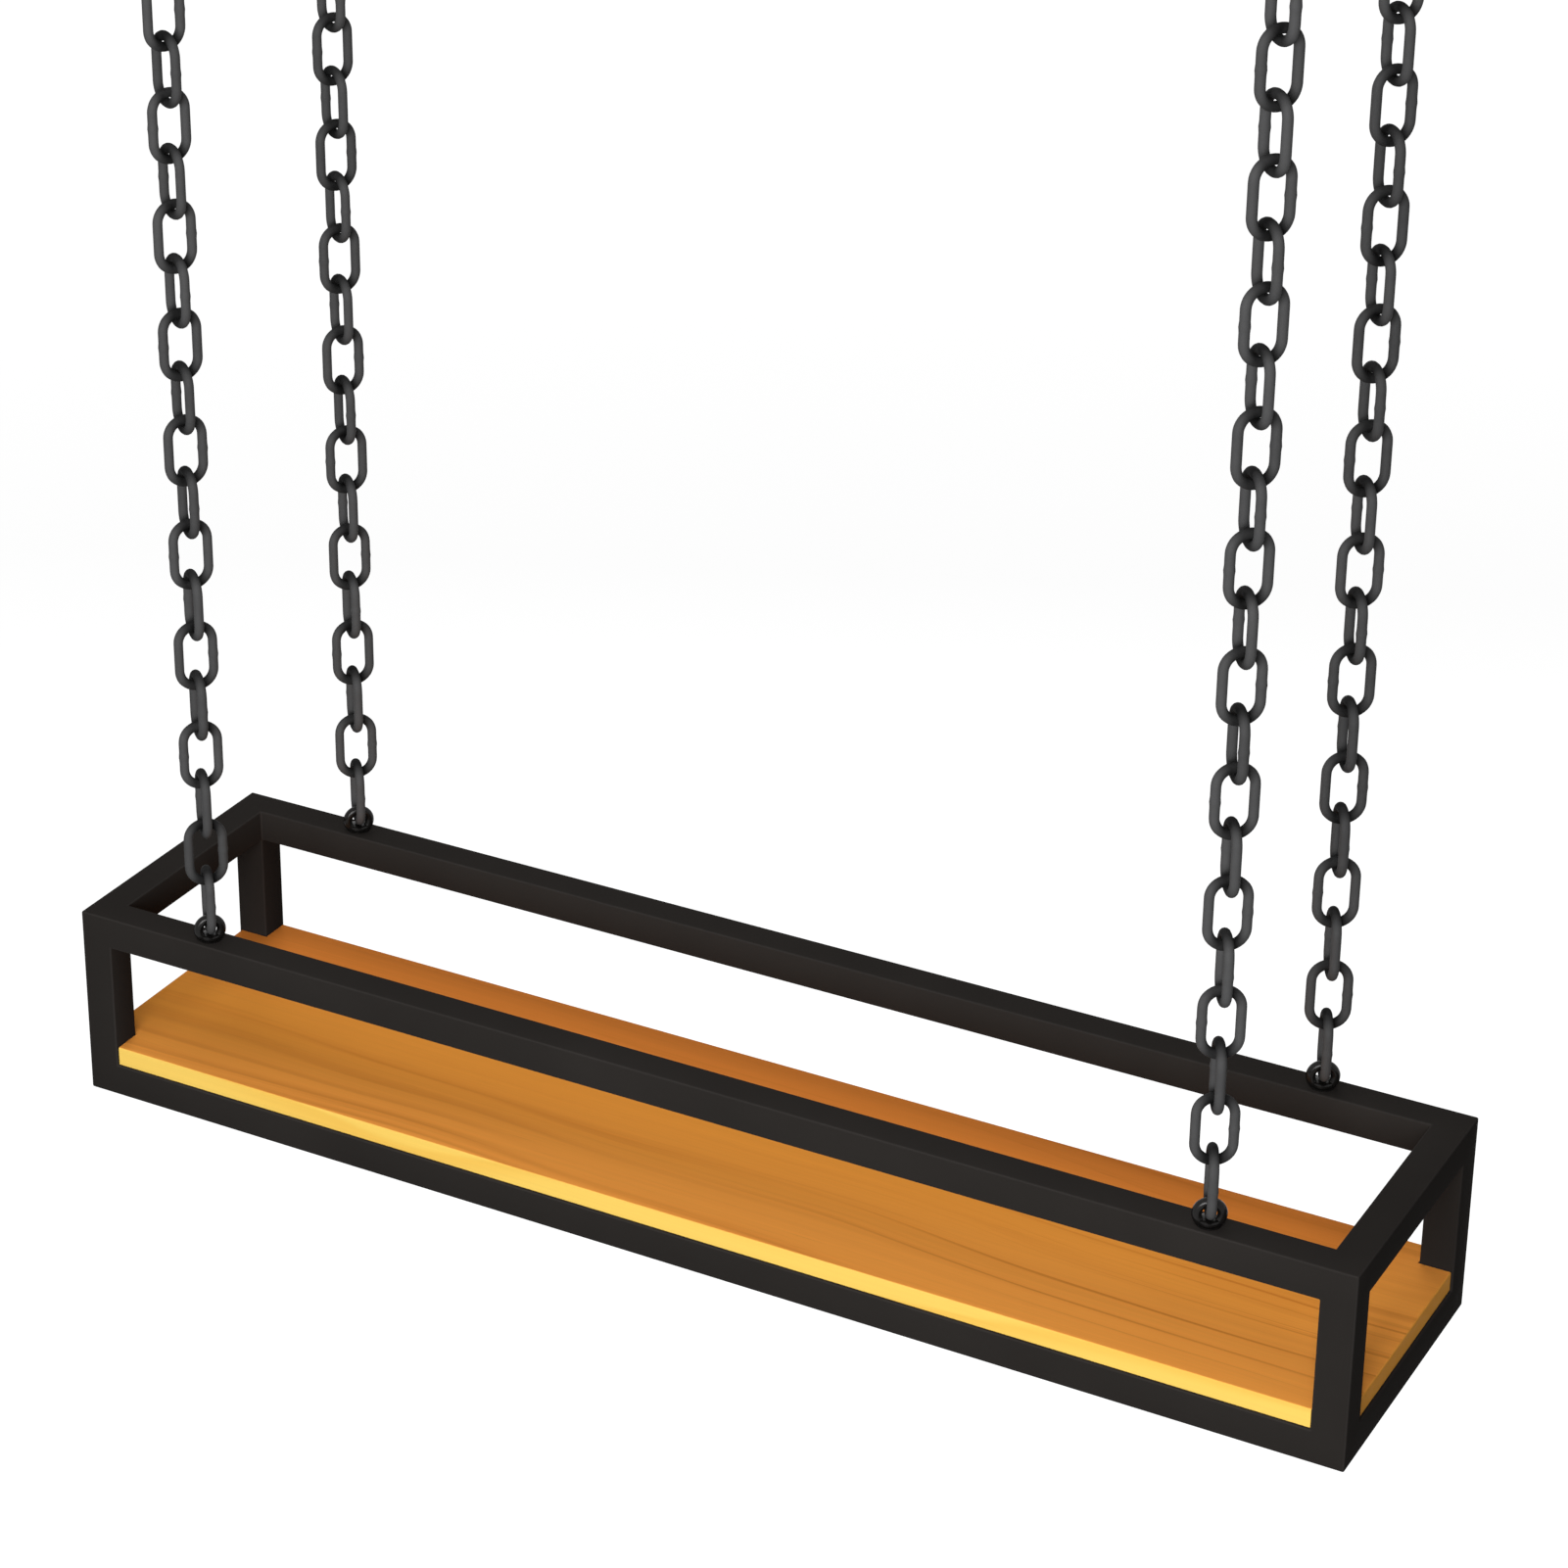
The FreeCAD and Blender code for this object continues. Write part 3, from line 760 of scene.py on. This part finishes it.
def close_shell(shell: BMesh, name: str, smooth: float = radians(35)) -> Mesh:
    """Turns a shell into a mesh whose edges are sharp above an angle.

    Args:
        shell: The shell, which is used up.
        name: The mesh's name.
        smooth: The angle between faces up to which an edge is smooth.

    Returns:
        The mesh.
    """
    bmesh.ops.recalc_face_normals(shell, faces=shell.faces)
    for face in shell.faces:
        face.smooth = True
    for edge in shell.edges:
        edge.smooth = len(edge.link_faces) == 2 and edge.calc_face_angle() < smooth
    mesh = bpy.data.meshes.new(name)
    shell.to_mesh(mesh)
    shell.free()
    return mesh


@dataclass
class WeldedFrame:
    """The twelve tubes of the frame, welded, ground flush and coated as one."""

    tube: float = 0.020
    wall: float = 0.0015
    edge_radius: float = 0.0010
    edge_steps: int = 3
    edge_angle: float = 0.1
    access_radius: float = 0.005
    access_places: tuple[float, ...] = (-0.3, 0.0, 0.3)
    drill_start: float = 0.002
    drill_steps: int = 32
    finish: PowderCoat = PowderCoat()

    def nodes(self) -> list[str]:
        """Returns the names of the tubes."""
        rails = [f"{level}_{side.value}_rail" for level in ("top", "bottom") for side in (*Row, *Side)]
        return rails + [f"post_{corner}" for corner in CORNERS]

    def corners(self) -> tuple[Vector, Vector]:
        """Returns the lowest and the highest corner of the frame."""
        return Vector(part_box("bottom_front_rail")[0]), Vector(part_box("top_back_rail")[1])

    def block(self) -> BMesh:
        """Builds the bars with sharp edges, from cells of a grid.

        Returns:
            The shell.
        """
        low, high = self.corners()
        cuts = [(low[n], low[n] + self.tube, high[n] - self.tube, high[n]) for n in range(3)]
        filled = {cell for cell in product(range(3), repeat=3) if sum(n != 1 for n in cell) >= 2}
        shell = bmesh.new()
        verts = {
            spot: shell.verts.new([cuts[n][spot[n]] for n in range(3)])
            for spot in product(range(4), repeat=3)
        }
        for cell, axis, side in product(filled, range(3), (0, 1)):
            beside = tuple(cell[n] + (2 * side - 1 if n == axis else 0) for n in range(3))
            if beside in filled:
                continue
            first, second = [n for n in range(3) if n != axis]
            moves = [{axis: side, first: a, second: b} for a, b in ((0, 0), (1, 0), (1, 1), (0, 1))]
            shell.faces.new([verts[tuple(cell[n] + move[n] for n in range(3))] for move in moves])
        loose = [vert for vert in shell.verts if not vert.link_faces]
        bmesh.ops.delete(shell, geom=loose, context="VERTS")
        bmesh.ops.recalc_face_normals(shell, faces=shell.faces)
        return shell

    def bars(self) -> Mesh:
        """Builds the bars as one shell with rounded edges, which carry a mark for the coat's painted edge
        highlight.

        Returns:
            The mesh.
        """
        shell = self.block()
        edges = [edge for edge in shell.edges if abs(edge.calc_face_angle()) > self.edge_angle]
        rounded = bmesh.ops.bevel(
            shell, geom=edges, offset=self.edge_radius, segments=self.edge_steps,
            profile=0.5, affect="EDGES", clamp_overlap=True,
        )
        strips = set(rounded["faces"])
        mark = shell.verts.layers.float.new("edge")
        for vert in shell.verts:
            vert[mark] = float(all(face in strips for face in vert.link_faces))
        return close_shell(shell, "frame_bars", radians(60))

    def drills(self) -> Object:
        """Builds the cutters of the holes under the bottom rails.

        Returns:
            The cutters as one object.
        """
        low, high = self.corners()
        shell = bmesh.new()
        heights = (low.z - self.drill_start, low.z + self.tube - self.wall)
        rings = [ring(self.access_radius, height, self.drill_steps) for height in heights]
        for x, y in product(self.access_places, (low.y + self.tube / 2, high.y - self.tube / 2)):
            skin(shell, [[point + Vector((x, y, 0)) for point in points] for points in rings])
        return add_piece("frame_drills", close_shell(shell, "frame_drills"))

    def build(self) -> None:
        """Builds the frame, drills it and dresses it."""
        bars = add_piece("welded_frame_bars", self.bars())
        drills = self.drills()
        cut = bars.modifiers.new("holes", "BOOLEAN")
        cut.operation = "DIFFERENCE"
        cut.solver = "EXACT"
        cut.object = drills
        mesh = plain_mesh(bars)
        for scrap in (bars, drills):
            bpy.data.objects.remove(scrap)
        mesh.materials.clear()
        mesh.materials.append(self.finish.material())
        settle(add_piece("welded_frame", mesh), "rack", self.nodes())


@dataclass
class ShelfBoard:
    """The wooden board that lies on the bottom rails."""

    pith_offset: float = 0.018
    pith_depth: float = 0.055

    def build(self) -> None:
        """Dresses the board in wood that follows its own place."""
        low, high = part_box("shelf_board")
        wood = OiledWood(high.x, high.y, pith=(self.pith_offset, low.z - self.pith_depth))
        dress("shelf_board", wood.material())


@dataclass
class Chains:
    """The four chains: a link on each hook, a run of links and a link in each eye."""

    wire: float = 0.0055
    inner_length: float = 0.032
    inner_width: float = 0.0145
    pitch: float = 0.0314
    weld_swell: float = 0.10
    weld_half: float = 0.0028
    seed: int = 7
    bend_share: float = 0.4995
    bend_steps: int = 8
    spine_steps: int = 66
    wire_steps: int = 14
    # How far the painted shade reaches from where links bear on each other, in metres
    contact_shade_band: tuple[float, float] = (0.0045, 0.0120)
    finish: ChainCoat = ChainCoat()

    def sizes(self) -> dict[str, float]:
        """Returns the tree's inputs for the shape of a link."""
        sizes = (self.wire, self.inner_length, self.inner_width, self.weld_swell, self.weld_half)
        return dict(zip(("Wire", "Inner Length", "Inner Width", "Weld Swell", "Weld Half Length"), sizes))

    def link(self, tree: MakerTree) -> Field:
        """Adds one upright link, which swells at its weld and is marked for painted shade where others bear
        on it.

        Args:
            tree: The tree, which gets the link's sizes as inputs.

        Returns:
            The link.
        """
        wire, length, width, swell, half = (tree.input(name) for name in self.sizes())
        outline = tree.add("GeometryNodeCurvePrimitiveQuadrilateral", sockets={
            "Width": width + wire, "Height": length + wire,
        })
        bent = tree.add("GeometryNodeFilletCurve", {"mode": "POLY"}, {
            "Curve": outline, "Radius": (width + wire) * self.bend_share, "Count": self.bend_steps,
        })
        spine = tree.add("GeometryNodeResampleCurve", {"mode": "COUNT"}, {
            "Curve": bent, "Count": self.spine_steps,
        })
        across, along, depth = tree.split(tree.add("GeometryNodeInputPosition"))
        away = tree.math("ABSOLUTE", along)
        near = tree.math("SUBTRACT", 1.0, tree.math("DIVIDE", away, half), clamp=True)
        welded = near * near * (3.0 - 2.0 * near) * tree.math("GREATER_THAN", across, 0.0)
        bar = tree.sweep(spine, wire * 0.5, self.wire_steps, {"Scale": 1.0 + swell * welded})
        end = away - length * 0.5
        reach = tree.math("SQRT", across * across + end * end + depth * depth)
        # Marks where painted shade darkens the link, near its ends where other links bear on it
        marked = tree.store(bar, "contact", 1.0 - tree.step(reach, *self.contact_shade_band))
        upright = tree.add("GeometryNodeTransform", sockets={
            "Geometry": marked, "Rotation": (pi / 2, 0.0, 0.0),
        })
        return tree.add("GeometryNodeSetShadeSmooth", sockets={"Geometry": upright})

    def tree(self) -> MakerTree:
        """Builds the tree that makes a column of links, each with a tone of its own.

        Returns:
            The tree.
        """
        tree = MakerTree("chain_links")
        column = tree.add("GeometryNodeMeshLine", {"mode": "OFFSET"}, {
            "Count": tree.input("Links", InputKind.COUNT),
            "Start Location": tree.input("Lowest Link", InputKind.PLACE),
            "Offset": tree.join(0.0, 0.0, tree.input("Pitch")),
        })
        index = tree.add("GeometryNodeInputIndex")
        tone = tree.add("FunctionNodeRandomValue", {"data_type": "FLOAT"}, {
            "Min": 0.0, "Max": 1.0, "ID": index, "Seed": tree.input("Seed", InputKind.COUNT),
        }, 1)
        angle = tree.input("First Turn") + index * tree.input("Turn Step")
        tree.copy(tree.store(column, "tone", tone), self.link(tree), angle)
        return tree

    def build(self) -> None:
        """Builds the twelve pieces of the four chains."""
        tree = self.tree()
        shared = {"Pitch": self.pitch, "Turn Step": radians(LINK_TURN), "Finish": self.finish.material()}
        for number, (row, side) in enumerate(product(Row, Side)):
            corner = f"{row.value}_{side.value}"
            lowest = middle(f"chain_{corner}_bottom_link")
            steps = round((middle(f"chain_{corner}_top_link").z - lowest.z) / self.pitch)
            parts = (("bottom_link", 0, 1), ("run", 1, steps - 1), ("top_link", steps, 1))
            for part, start, links in parts:
                piece = tree.run(f"links_{corner}_{part}", {
                    **self.sizes(), **shared,
                    "Links": links,
                    "Lowest Link": tuple(lowest + Vector((0, 0, start * self.pitch))),
                    "First Turn": radians(EYE_TURN[side] - 90 + start * LINK_TURN),
                    "Seed": self.seed + 3 * number + start,
                })
                settle(piece, f"{corner}_{part}", [f"chain_{corner}_{part}"])


@dataclass(frozen=True)
class Grid:
    """Level places for copies of a fastening, with the turn of each copy in radians."""

    middle: Point
    spacing: tuple[float, float]
    counts: tuple[int, int]
    turn: float = 0.0

    def values(self) -> dict[str, Any]:
        """Returns the inputs of a tree that copies on a grid."""
        names = ("Spacing X", "Spacing Y", "Columns", "Rows", "Middle", "Turn")
        return dict(zip(names, (*self.spacing, *self.counts, self.middle, self.turn)))


def pair_grid(nodes: list[str], height: float, turn: float) -> Grid:
    """Returns the places over a front and a back node, at a height and with a turn in degrees."""
    front, back = (middle(node) for node in nodes)
    return Grid((front.x, 0.0, height), (0.0, back.y - front.y), (1, 2), radians(turn))


class Pattern:
    """Copies of one fastening on a grid of places."""

    def __init__(self) -> None:
        """Builds the tree that makes the copies."""
        self.tree = MakerTree("fastening_pattern")
        self.tree.copy_on_grid(self.tree.shape())

    def build(self, name: str, mesh: Mesh, grid: Grid, material: Material) -> Object:
        """Builds copies of a mesh, which stands about its own axis, as one piece."""
        return self.tree.run(name, {**grid.values(), "Finish": material}, mesh)


@dataclass
class EyeBolts:
    """The four eye bolts on the top rails: ring, neck, collar and shank."""

    pattern: Pattern
    wire: float = 0.0055
    ring_radius: float = 0.00675
    rise: float = 0.0055
    ring_steps: int = 56
    wire_steps: int = 18
    cut_height: float = 0.0002
    collar_radius: float = 0.006
    collar_height: float = 0.0026
    collar_edge: float = 0.0004
    collar_steps: int = 40
    neck_radius: float = 0.0020
    shank_radius: float = 0.003
    shank_length: float = 0.012
    shank_edge: float = 0.0006
    finish: GlossBlack = GlossBlack()

    def mesh(self) -> Mesh:
        """Builds one eye bolt, with its seat at the origin.

        Returns:
            The mesh.
        """
        shell = bmesh.new()
        sweep = []
        for angle in turns(self.ring_steps):
            outward = Vector((cos(angle), 0, sin(angle)))
            centre = Vector((0, 0, self.rise)) + outward * self.ring_radius
            sweep.append([
                centre + (outward * cos(t) + Vector((0, 1, 0)) * sin(t)) * self.wire / 2
                for t in turns(self.wire_steps)
            ])
        skin(shell, sweep, loop=True)
        geometry = shell.verts[:] + shell.edges[:] + shell.faces[:]
        cut = bmesh.ops.bisect_plane(
            shell, geom=geometry, plane_co=(0, 0, self.cut_height), plane_no=(0, 0, 1), clear_inner=True
        )
        rim = [item for item in cut["geom_cut"] if isinstance(item, BMEdge)]
        bmesh.ops.holes_fill(shell, edges=rim)
        top, edge, out = self.collar_height, self.collar_edge, self.collar_radius
        turn_profile(shell, [
            (self.shank_radius - self.shank_edge, -self.shank_length),
            (self.shank_radius, self.shank_edge - self.shank_length),
            (self.shank_radius, 0.0), (out - edge, 0.0), (out, edge), (out, top - 2.2 * edge),
            (out - edge, top - edge), (out - 3 * edge, top), (self.neck_radius, top + self.cut_height),
        ], self.collar_steps)
        return close_shell(shell, "eye_bolt")

    def build(self) -> None:
        """Builds the eye bolts where the frame has them, a pair at each end, and dresses their nuts."""
        material = self.finish.material()
        for side in Side:
            nodes = [f"eye_bolt_{row.value}_{side.value}" for row in Row]
            grid = pair_grid(nodes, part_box(nodes[0])[0].z + self.shank_length, EYE_TURN[side])
            piece = self.pattern.build(f"eye_bolts_{side.value}_pair", self.mesh(), grid, material)
            settle(piece, "rack", nodes)
        dress("eye_rivet_nuts", material)


@dataclass(frozen=True)
class Thread:
    """A screw thread wound round a core."""

    name: str
    radius: float
    pitch: float
    low: float
    length: float
    share: float = 0.36
    ridge_limit: float = 0.00038
    depth: float = 1.9
    corners: int = 4
    steps: int = 20

    def core(self) -> float:
        """Returns the radius of the core, a little above the root of the thread."""
        return self.radius - self.depth * self.ridge()

    def ridge(self) -> float:
        """Returns half the height of the thread."""
        return min(self.share * self.pitch, self.ridge_limit)

    def values(self) -> dict[str, float]:
        """Works out the tree's inputs for this thread.

        Returns:
            The inputs, by name.
        """
        sizes = (self.radius - self.ridge(), self.ridge(), self.pitch, self.low, self.length)
        parts = zip(("Radius", "Ridge", "Pitch", "Low", "Length"), sizes)
        return {f"{self.name} {part}": size for part, size in parts}

    def winding(self, tree: MakerTree) -> Field:
        """Adds the thread to a tree.

        Args:
            tree: The tree, which gets the thread's sizes as inputs.

        Returns:
            The winding.
        """
        radius, ridge, pitch, low, length = (tree.input(name) for name in self.values())
        helix = tree.add("GeometryNodeCurveSpiral", sockets={
            "Resolution": self.steps, "Rotations": tree.math("DIVIDE", length, pitch),
            "Start Radius": radius, "End Radius": radius, "Height": length,
        })
        winding = tree.sweep(helix, ridge, self.corners, {"Fill Caps": True})
        return tree.add("GeometryNodeTransform", sockets={
            "Geometry": winding, "Translation": tree.join(0.0, 0.0, low),
        })


@dataclass
class CeilingHooks:
    """The four hooks in the ceiling, with their threads, nuts and washers."""

    pattern: Pattern
    wire: float = 0.006
    wire_steps: int = 20
    bowl_radius: float = 0.011
    bowl_steps: int = 42
    neck: float = 0.010
    neck_steps: int = 8
    mouth: float = 42.0
    tip: float = 0.002
    tip_size: float = 0.34
    point_size: float = 0.06
    point_length: float = 0.0015
    taper_length: float = 0.006
    shoulder: float = 0.0002
    thread_end: float = 0.0006
    screw: Thread = Thread("Screw", 0.0024, 0.0020, 0.0004, 0.0345)
    nut_thread: Thread = Thread("Nut Thread", 0.0030, 0.0010, -0.0088, 0.0086)
    screw_length: float = 0.040
    links: int = 21
    nut_width: float = 0.010
    nut_height: float = 0.005
    nut_edge: float = 0.0005
    nut_flare: float = 1.14
    nut_play: float = 1.005
    nut_face: float = 0.97
    nut_steps: int = 72
    chamfer_steps: int = 5
    washer_radius: float = 0.009
    washer_height: float = 0.0016
    washer_edge: float = 0.0004
    washer_steps: int = 56
    coat: ChainCoat = ChainCoat("black_hook_coat", (0.030, 0.030, 0.031, 1.0), roughness=0.42)
    plate: ZincPlate = ZincPlate()

    def path(self) -> list[Point]:
        """Works out the hook's line, down the screw and round the bowl.

        Returns:
            Points: across, up and share of the wire's size.
        """
        half, top, low = self.wire / 2, self.screw_length, self.nut_thread.low
        core, root = self.screw.core() / half, self.nut_thread.core() / half
        straight = (
            (top, self.point_size), (top - self.point_length, core * 0.4), (top - self.taper_length, core),
            (self.shoulder, core), (0.0, root), (low, root),
            (low - self.thread_end, 1.0), (-self.neck, 1.0),
        )
        points = [(0.0, up, size) for up, size in straight]
        radius, bowl = self.bowl_radius, -self.neck - sqrt(3) * self.bowl_radius
        for step in range(1, self.neck_steps + 1):
            angle = radians(-60 * step / self.neck_steps)
            points.append((radius * (cos(angle) - 1), -self.neck + radius * sin(angle), 1.0))
        sweep = radians(240 + self.mouth)
        for step in range(1, self.bowl_steps + 1):
            angle = radians(120) + sweep * step / self.bowl_steps
            left = sweep * radius * (1 - step / self.bowl_steps)
            dome = sqrt(1 - max(0.0, 1 - left / self.tip) ** 2)
            size = self.tip_size + (1 - self.tip_size) * dome
            points.append((radius * cos(angle), bowl + radius * sin(angle), size))
        return points

    def wire_mesh(self) -> Mesh:
        """Builds the hook's line, with the size of the wire at each point.

        Returns:
            The line as a mesh of edges.
        """
        points = self.path()
        edges = [(n, n + 1) for n in range(len(points) - 1)]
        mesh = bpy.data.meshes.new("hook_line")
        mesh.from_pydata([(across, 0.0, up) for across, up, _ in points], edges, [])
        sizes = mesh.attributes.new("size", "FLOAT", "POINT")
        sizes.data.foreach_set("value", [size for _, _, size in points])
        return mesh

    def tree(self) -> MakerTree:
        """Builds the tree that makes a pair of hooks: a swept wire and its threads, at two places.

        Returns:
            The tree.
        """
        tree = MakerTree("ceiling_hooks")
        size = tree.add("GeometryNodeInputNamedAttribute", {"data_type": "FLOAT"}, {"Name": "size"})
        line = tree.add("GeometryNodeMeshToCurve", sockets={0: tree.shape()})
        ends = {"Scale": size, "Fill Caps": True}
        rod = tree.sweep(line, tree.input("Wire") * 0.5, self.wire_steps, ends)
        smooth = tree.add("GeometryNodeSetShadeSmooth", sockets={"Geometry": rod})
        windings = [thread.winding(tree) for thread in (self.screw, self.nut_thread)]
        hook = tree.add("GeometryNodeJoinGeometry", sockets={0: [smooth, *windings]})
        tree.copy_on_grid(hook)
        return tree

    def nut(self) -> Mesh:
        """Builds a hexagon nut with chamfered corners, hanging below the origin.

        Returns:
            The mesh.
        """
        low, width = self.nut_height, self.nut_width
        flat, slope = width / 2, tan(radians(30))
        deepest = (width / sqrt(3) - flat) * slope
        drops = [deepest * step / self.chamfer_steps for step in range(self.chamfer_steps + 1)]
        chamfer = [(hexagon(width, flat * self.nut_face + drop / slope), drop) for drop in drops]
        bore, edge = self.wire / 2 * self.nut_play, self.nut_edge
        flare = bore * self.nut_flare
        profile = [(outline, -drop) for outline, drop in chamfer]
        profile += [(outline, drop - low) for outline, drop in reversed(chamfer)]
        profile += [(flare, -low), (bore, edge - low), (bore, -edge), (flare, 0.0)]
        shell = bmesh.new()
        turn_profile(shell, profile, self.nut_steps, loop=True)
        return close_shell(shell, "hook_nut", radians(20))

    def washer(self) -> Mesh:
        """Builds a washer with a rounded outer edge, hanging below the origin.

        Returns:
            The mesh.
        """
        out, low, edge = self.washer_radius, self.washer_height, self.washer_edge
        bore = (self.wire + edge) / 2
        shell = bmesh.new()
        turn_profile(shell, [
            (bore, -edge / 2), (bore + edge / 2, 0.0), (out - edge, 0.0), (out - edge * 0.3, -edge * 0.3),
            (out, -edge), (out, edge / 2 - low), (out - edge / 2, -low),
            (bore + edge / 2, -low), (bore, edge / 2 - low),
        ], self.washer_steps, loop=True)
        return close_shell(shell, "hook_washer")

    def build(self) -> None:
        """Builds the hooks and what clamps them to the ceiling."""
        tree, line, coat = self.tree(), self.wire_mesh(), self.coat.material()
        for side in Side:
            corners = [f"{row.value}_{side.value}" for row in Row]
            links = [f"chain_{corner}_top_link" for corner in corners]
            grid = pair_grid(links, 0.0, EYE_TURN[side] + self.links * LINK_TURN)
            hooks = tree.run(f"hooks_{side.value}_pair", {
                "Wire": self.wire, **self.screw.values(), **self.nut_thread.values(),
                **grid.values(), "Finish": coat,
            }, line)
            settle(hooks, "ceiling_hooks", [f"ceiling_hook_{corner}" for corner in corners])
        links = [middle(f"chain_{corner}_top_link") for corner in CORNERS]
        spacing = (links[-1].x - links[0].x, links[-1].y - links[0].y)
        plate = self.plate.material()
        for name, node, mesh, top in (
            ("hook_washer_rings", "hook_washers", self.washer(), 0.0),
            ("hook_hex_nuts", "hook_nuts", self.nut(), -self.washer_height),
        ):
            piece = self.pattern.build(name, mesh, Grid((0, 0, top), spacing, (2, 2)), plate)
            settle(piece, "ceiling_hooks", [node])


@dataclass
class BoardScrews:
    """The six screws that hold the board from inside the bottom rails."""

    pattern: Pattern
    head_radius: float = 0.00375
    head_height: float = 0.0024
    head_edge: float = 0.0009
    radius: float = 0.002
    length: float = 0.0115
    tip_length: float = 0.003
    tip_radius: float = 0.0004
    drive_width: float = 0.0025
    drive_depth: float = 0.0014
    steps: int = 48
    finish: ZincPlate = ZincPlate("zinc_screw_plate")

    def mesh(self) -> Mesh:
        """Builds one screw, with the underside of its head at the origin and its tip up.

        Returns:
            The mesh.
        """
        low, edge, out = -self.head_height, self.head_edge, self.head_radius
        key = hexagon(self.drive_width, limit=1.0)
        shell = bmesh.new()
        turn_profile(shell, [
            (key, low + self.drive_depth), (key, low), (out - edge, low),
            (out - edge * 0.3, low + edge * 0.4), (out, low + edge), (out, 0.0), (self.radius, 0.0),
            (self.radius, self.length - self.tip_length), (self.tip_radius, self.length),
        ], self.steps)
        return close_shell(shell, "board_screw")

    def build(self) -> None:
        """Builds the six screws where the frame has them."""
        low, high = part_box("board_screws")
        spacing = (high.x - low.x - 2 * self.head_radius, high.y - low.y - 2 * self.head_radius)
        grid = Grid((0, 0, low.z + self.head_height), spacing, (3, 2))
        piece = self.pattern.build("board_screw_set", self.mesh(), grid, self.finish.material())
        settle(piece, "rack", ["board_screws"])


@dataclass
class SoftBox:
    """A square lamp that faces the rack."""

    name: str
    azimuth: float
    elevation: float
    distance: float
    size: float
    level: float
    shines: bool = False

    def build(self, target: Vector) -> None:
        """Hangs the lamp, at a strength that gives its level on what faces it.

        Args:
            target: The point that it faces.
        """
        az, el = radians(self.azimuth), radians(self.elevation)
        away = Vector((sin(az) * cos(el), -cos(az) * cos(el), sin(el)))
        lamp = bpy.data.lights.new(self.name, "AREA")
        lamp.size = self.size
        lamp.energy = self.level * (pi * self.distance) ** 2
        holder = put(self.name, lamp)
        holder.location = target + away * self.distance
        holder.rotation_euler = away.to_track_quat("Z", "Y").to_euler()
        holder.visible_camera = False
        holder.visible_glossy = self.shines


@dataclass
class Studio:
    """Floor, lamps, surrounding light and camera."""

    floor_height: float = -2.30
    floor_half: float = 60.0
    ambient: float = 0.05
    white: Colour = (1.0, 1.0, 1.0, 1.0)
    place: Point = (0.9955, -1.8773, 0.4721)
    turn: Point = (65.4303, 0.4141, 30.0243)
    lens: float = 98.593
    sensor: float = 36.0
    far: float = 500.0
    shift: tuple[float, float] = (0.12, -0.10)
    floor: PaleFloor = PaleFloor()
    lamps: tuple[SoftBox, ...] = (
        SoftBox("front_lamp", 15.0, 16.0, 3.0, 1.5, 1.02, True),
        SoftBox("top_lamp", 0.0, 76.0, 2.6, 2.0, 0.45),
        SoftBox("back_lamp", 205.0, 20.0, 3.4, 2.2, 0.50),
    )

    def build(self) -> None:
        """Builds the stage round the rack."""
        corners = [(-1, -1), (1, -1), (1, 1), (-1, 1)]
        points = [(x * self.floor_half, y * self.floor_half, self.floor_height) for x, y in corners]
        mesh = bpy.data.meshes.new("pale_floor")
        mesh.from_pydata(points, [], [(0, 1, 2, 3)])
        mesh.materials.append(self.floor.material())
        ground = put("pale_floor", mesh)
        for lamp in self.lamps:
            lamp.build(middle("shelf_board"))
        self.light_world()
        self.set_camera()

    def light_world(self) -> None:
        """Gives the world its even light, and shows it as white."""
        world = bpy.data.worlds.new("studio")
        world.use_nodes = True
        world.node_tree.nodes.clear()
        net = Network(world.node_tree)
        light = {"Color": self.white, "Strength": net.seen().span(self.ambient, 1.0)}
        sky = net.add("ShaderNodeBackground", sockets=light)
        net.node("ShaderNodeOutputWorld", sockets={"Surface": sky})
        bpy.context.scene.world = world

    def set_camera(self) -> None:
        """Stands the camera where the photograph was taken from."""
        camera = bpy.data.cameras.new("camera")
        camera.sensor_width = self.sensor
        camera.lens = self.lens
        camera.shift_x, camera.shift_y = self.shift
        camera.clip_end = self.far
        holder = put("camera", camera)
        holder.location = self.place
        holder.rotation_euler = [radians(angle) for angle in self.turn]
        bpy.context.scene.camera = holder
        bpy.context.scene.view_settings.view_transform = "Standard"


def main() -> None:
    """Builds the pieces in order."""
    logging.basicConfig(level=logging.INFO, format="%(message)s")
    pattern = Pattern()
    WeldedFrame().build()
    ShelfBoard().build()
    BoardScrews(pattern).build()
    EyeBolts(pattern).build()
    Chains().build()
    CeilingHooks(pattern).build()
    Studio().build()


if __name__ == "__main__":
    main()
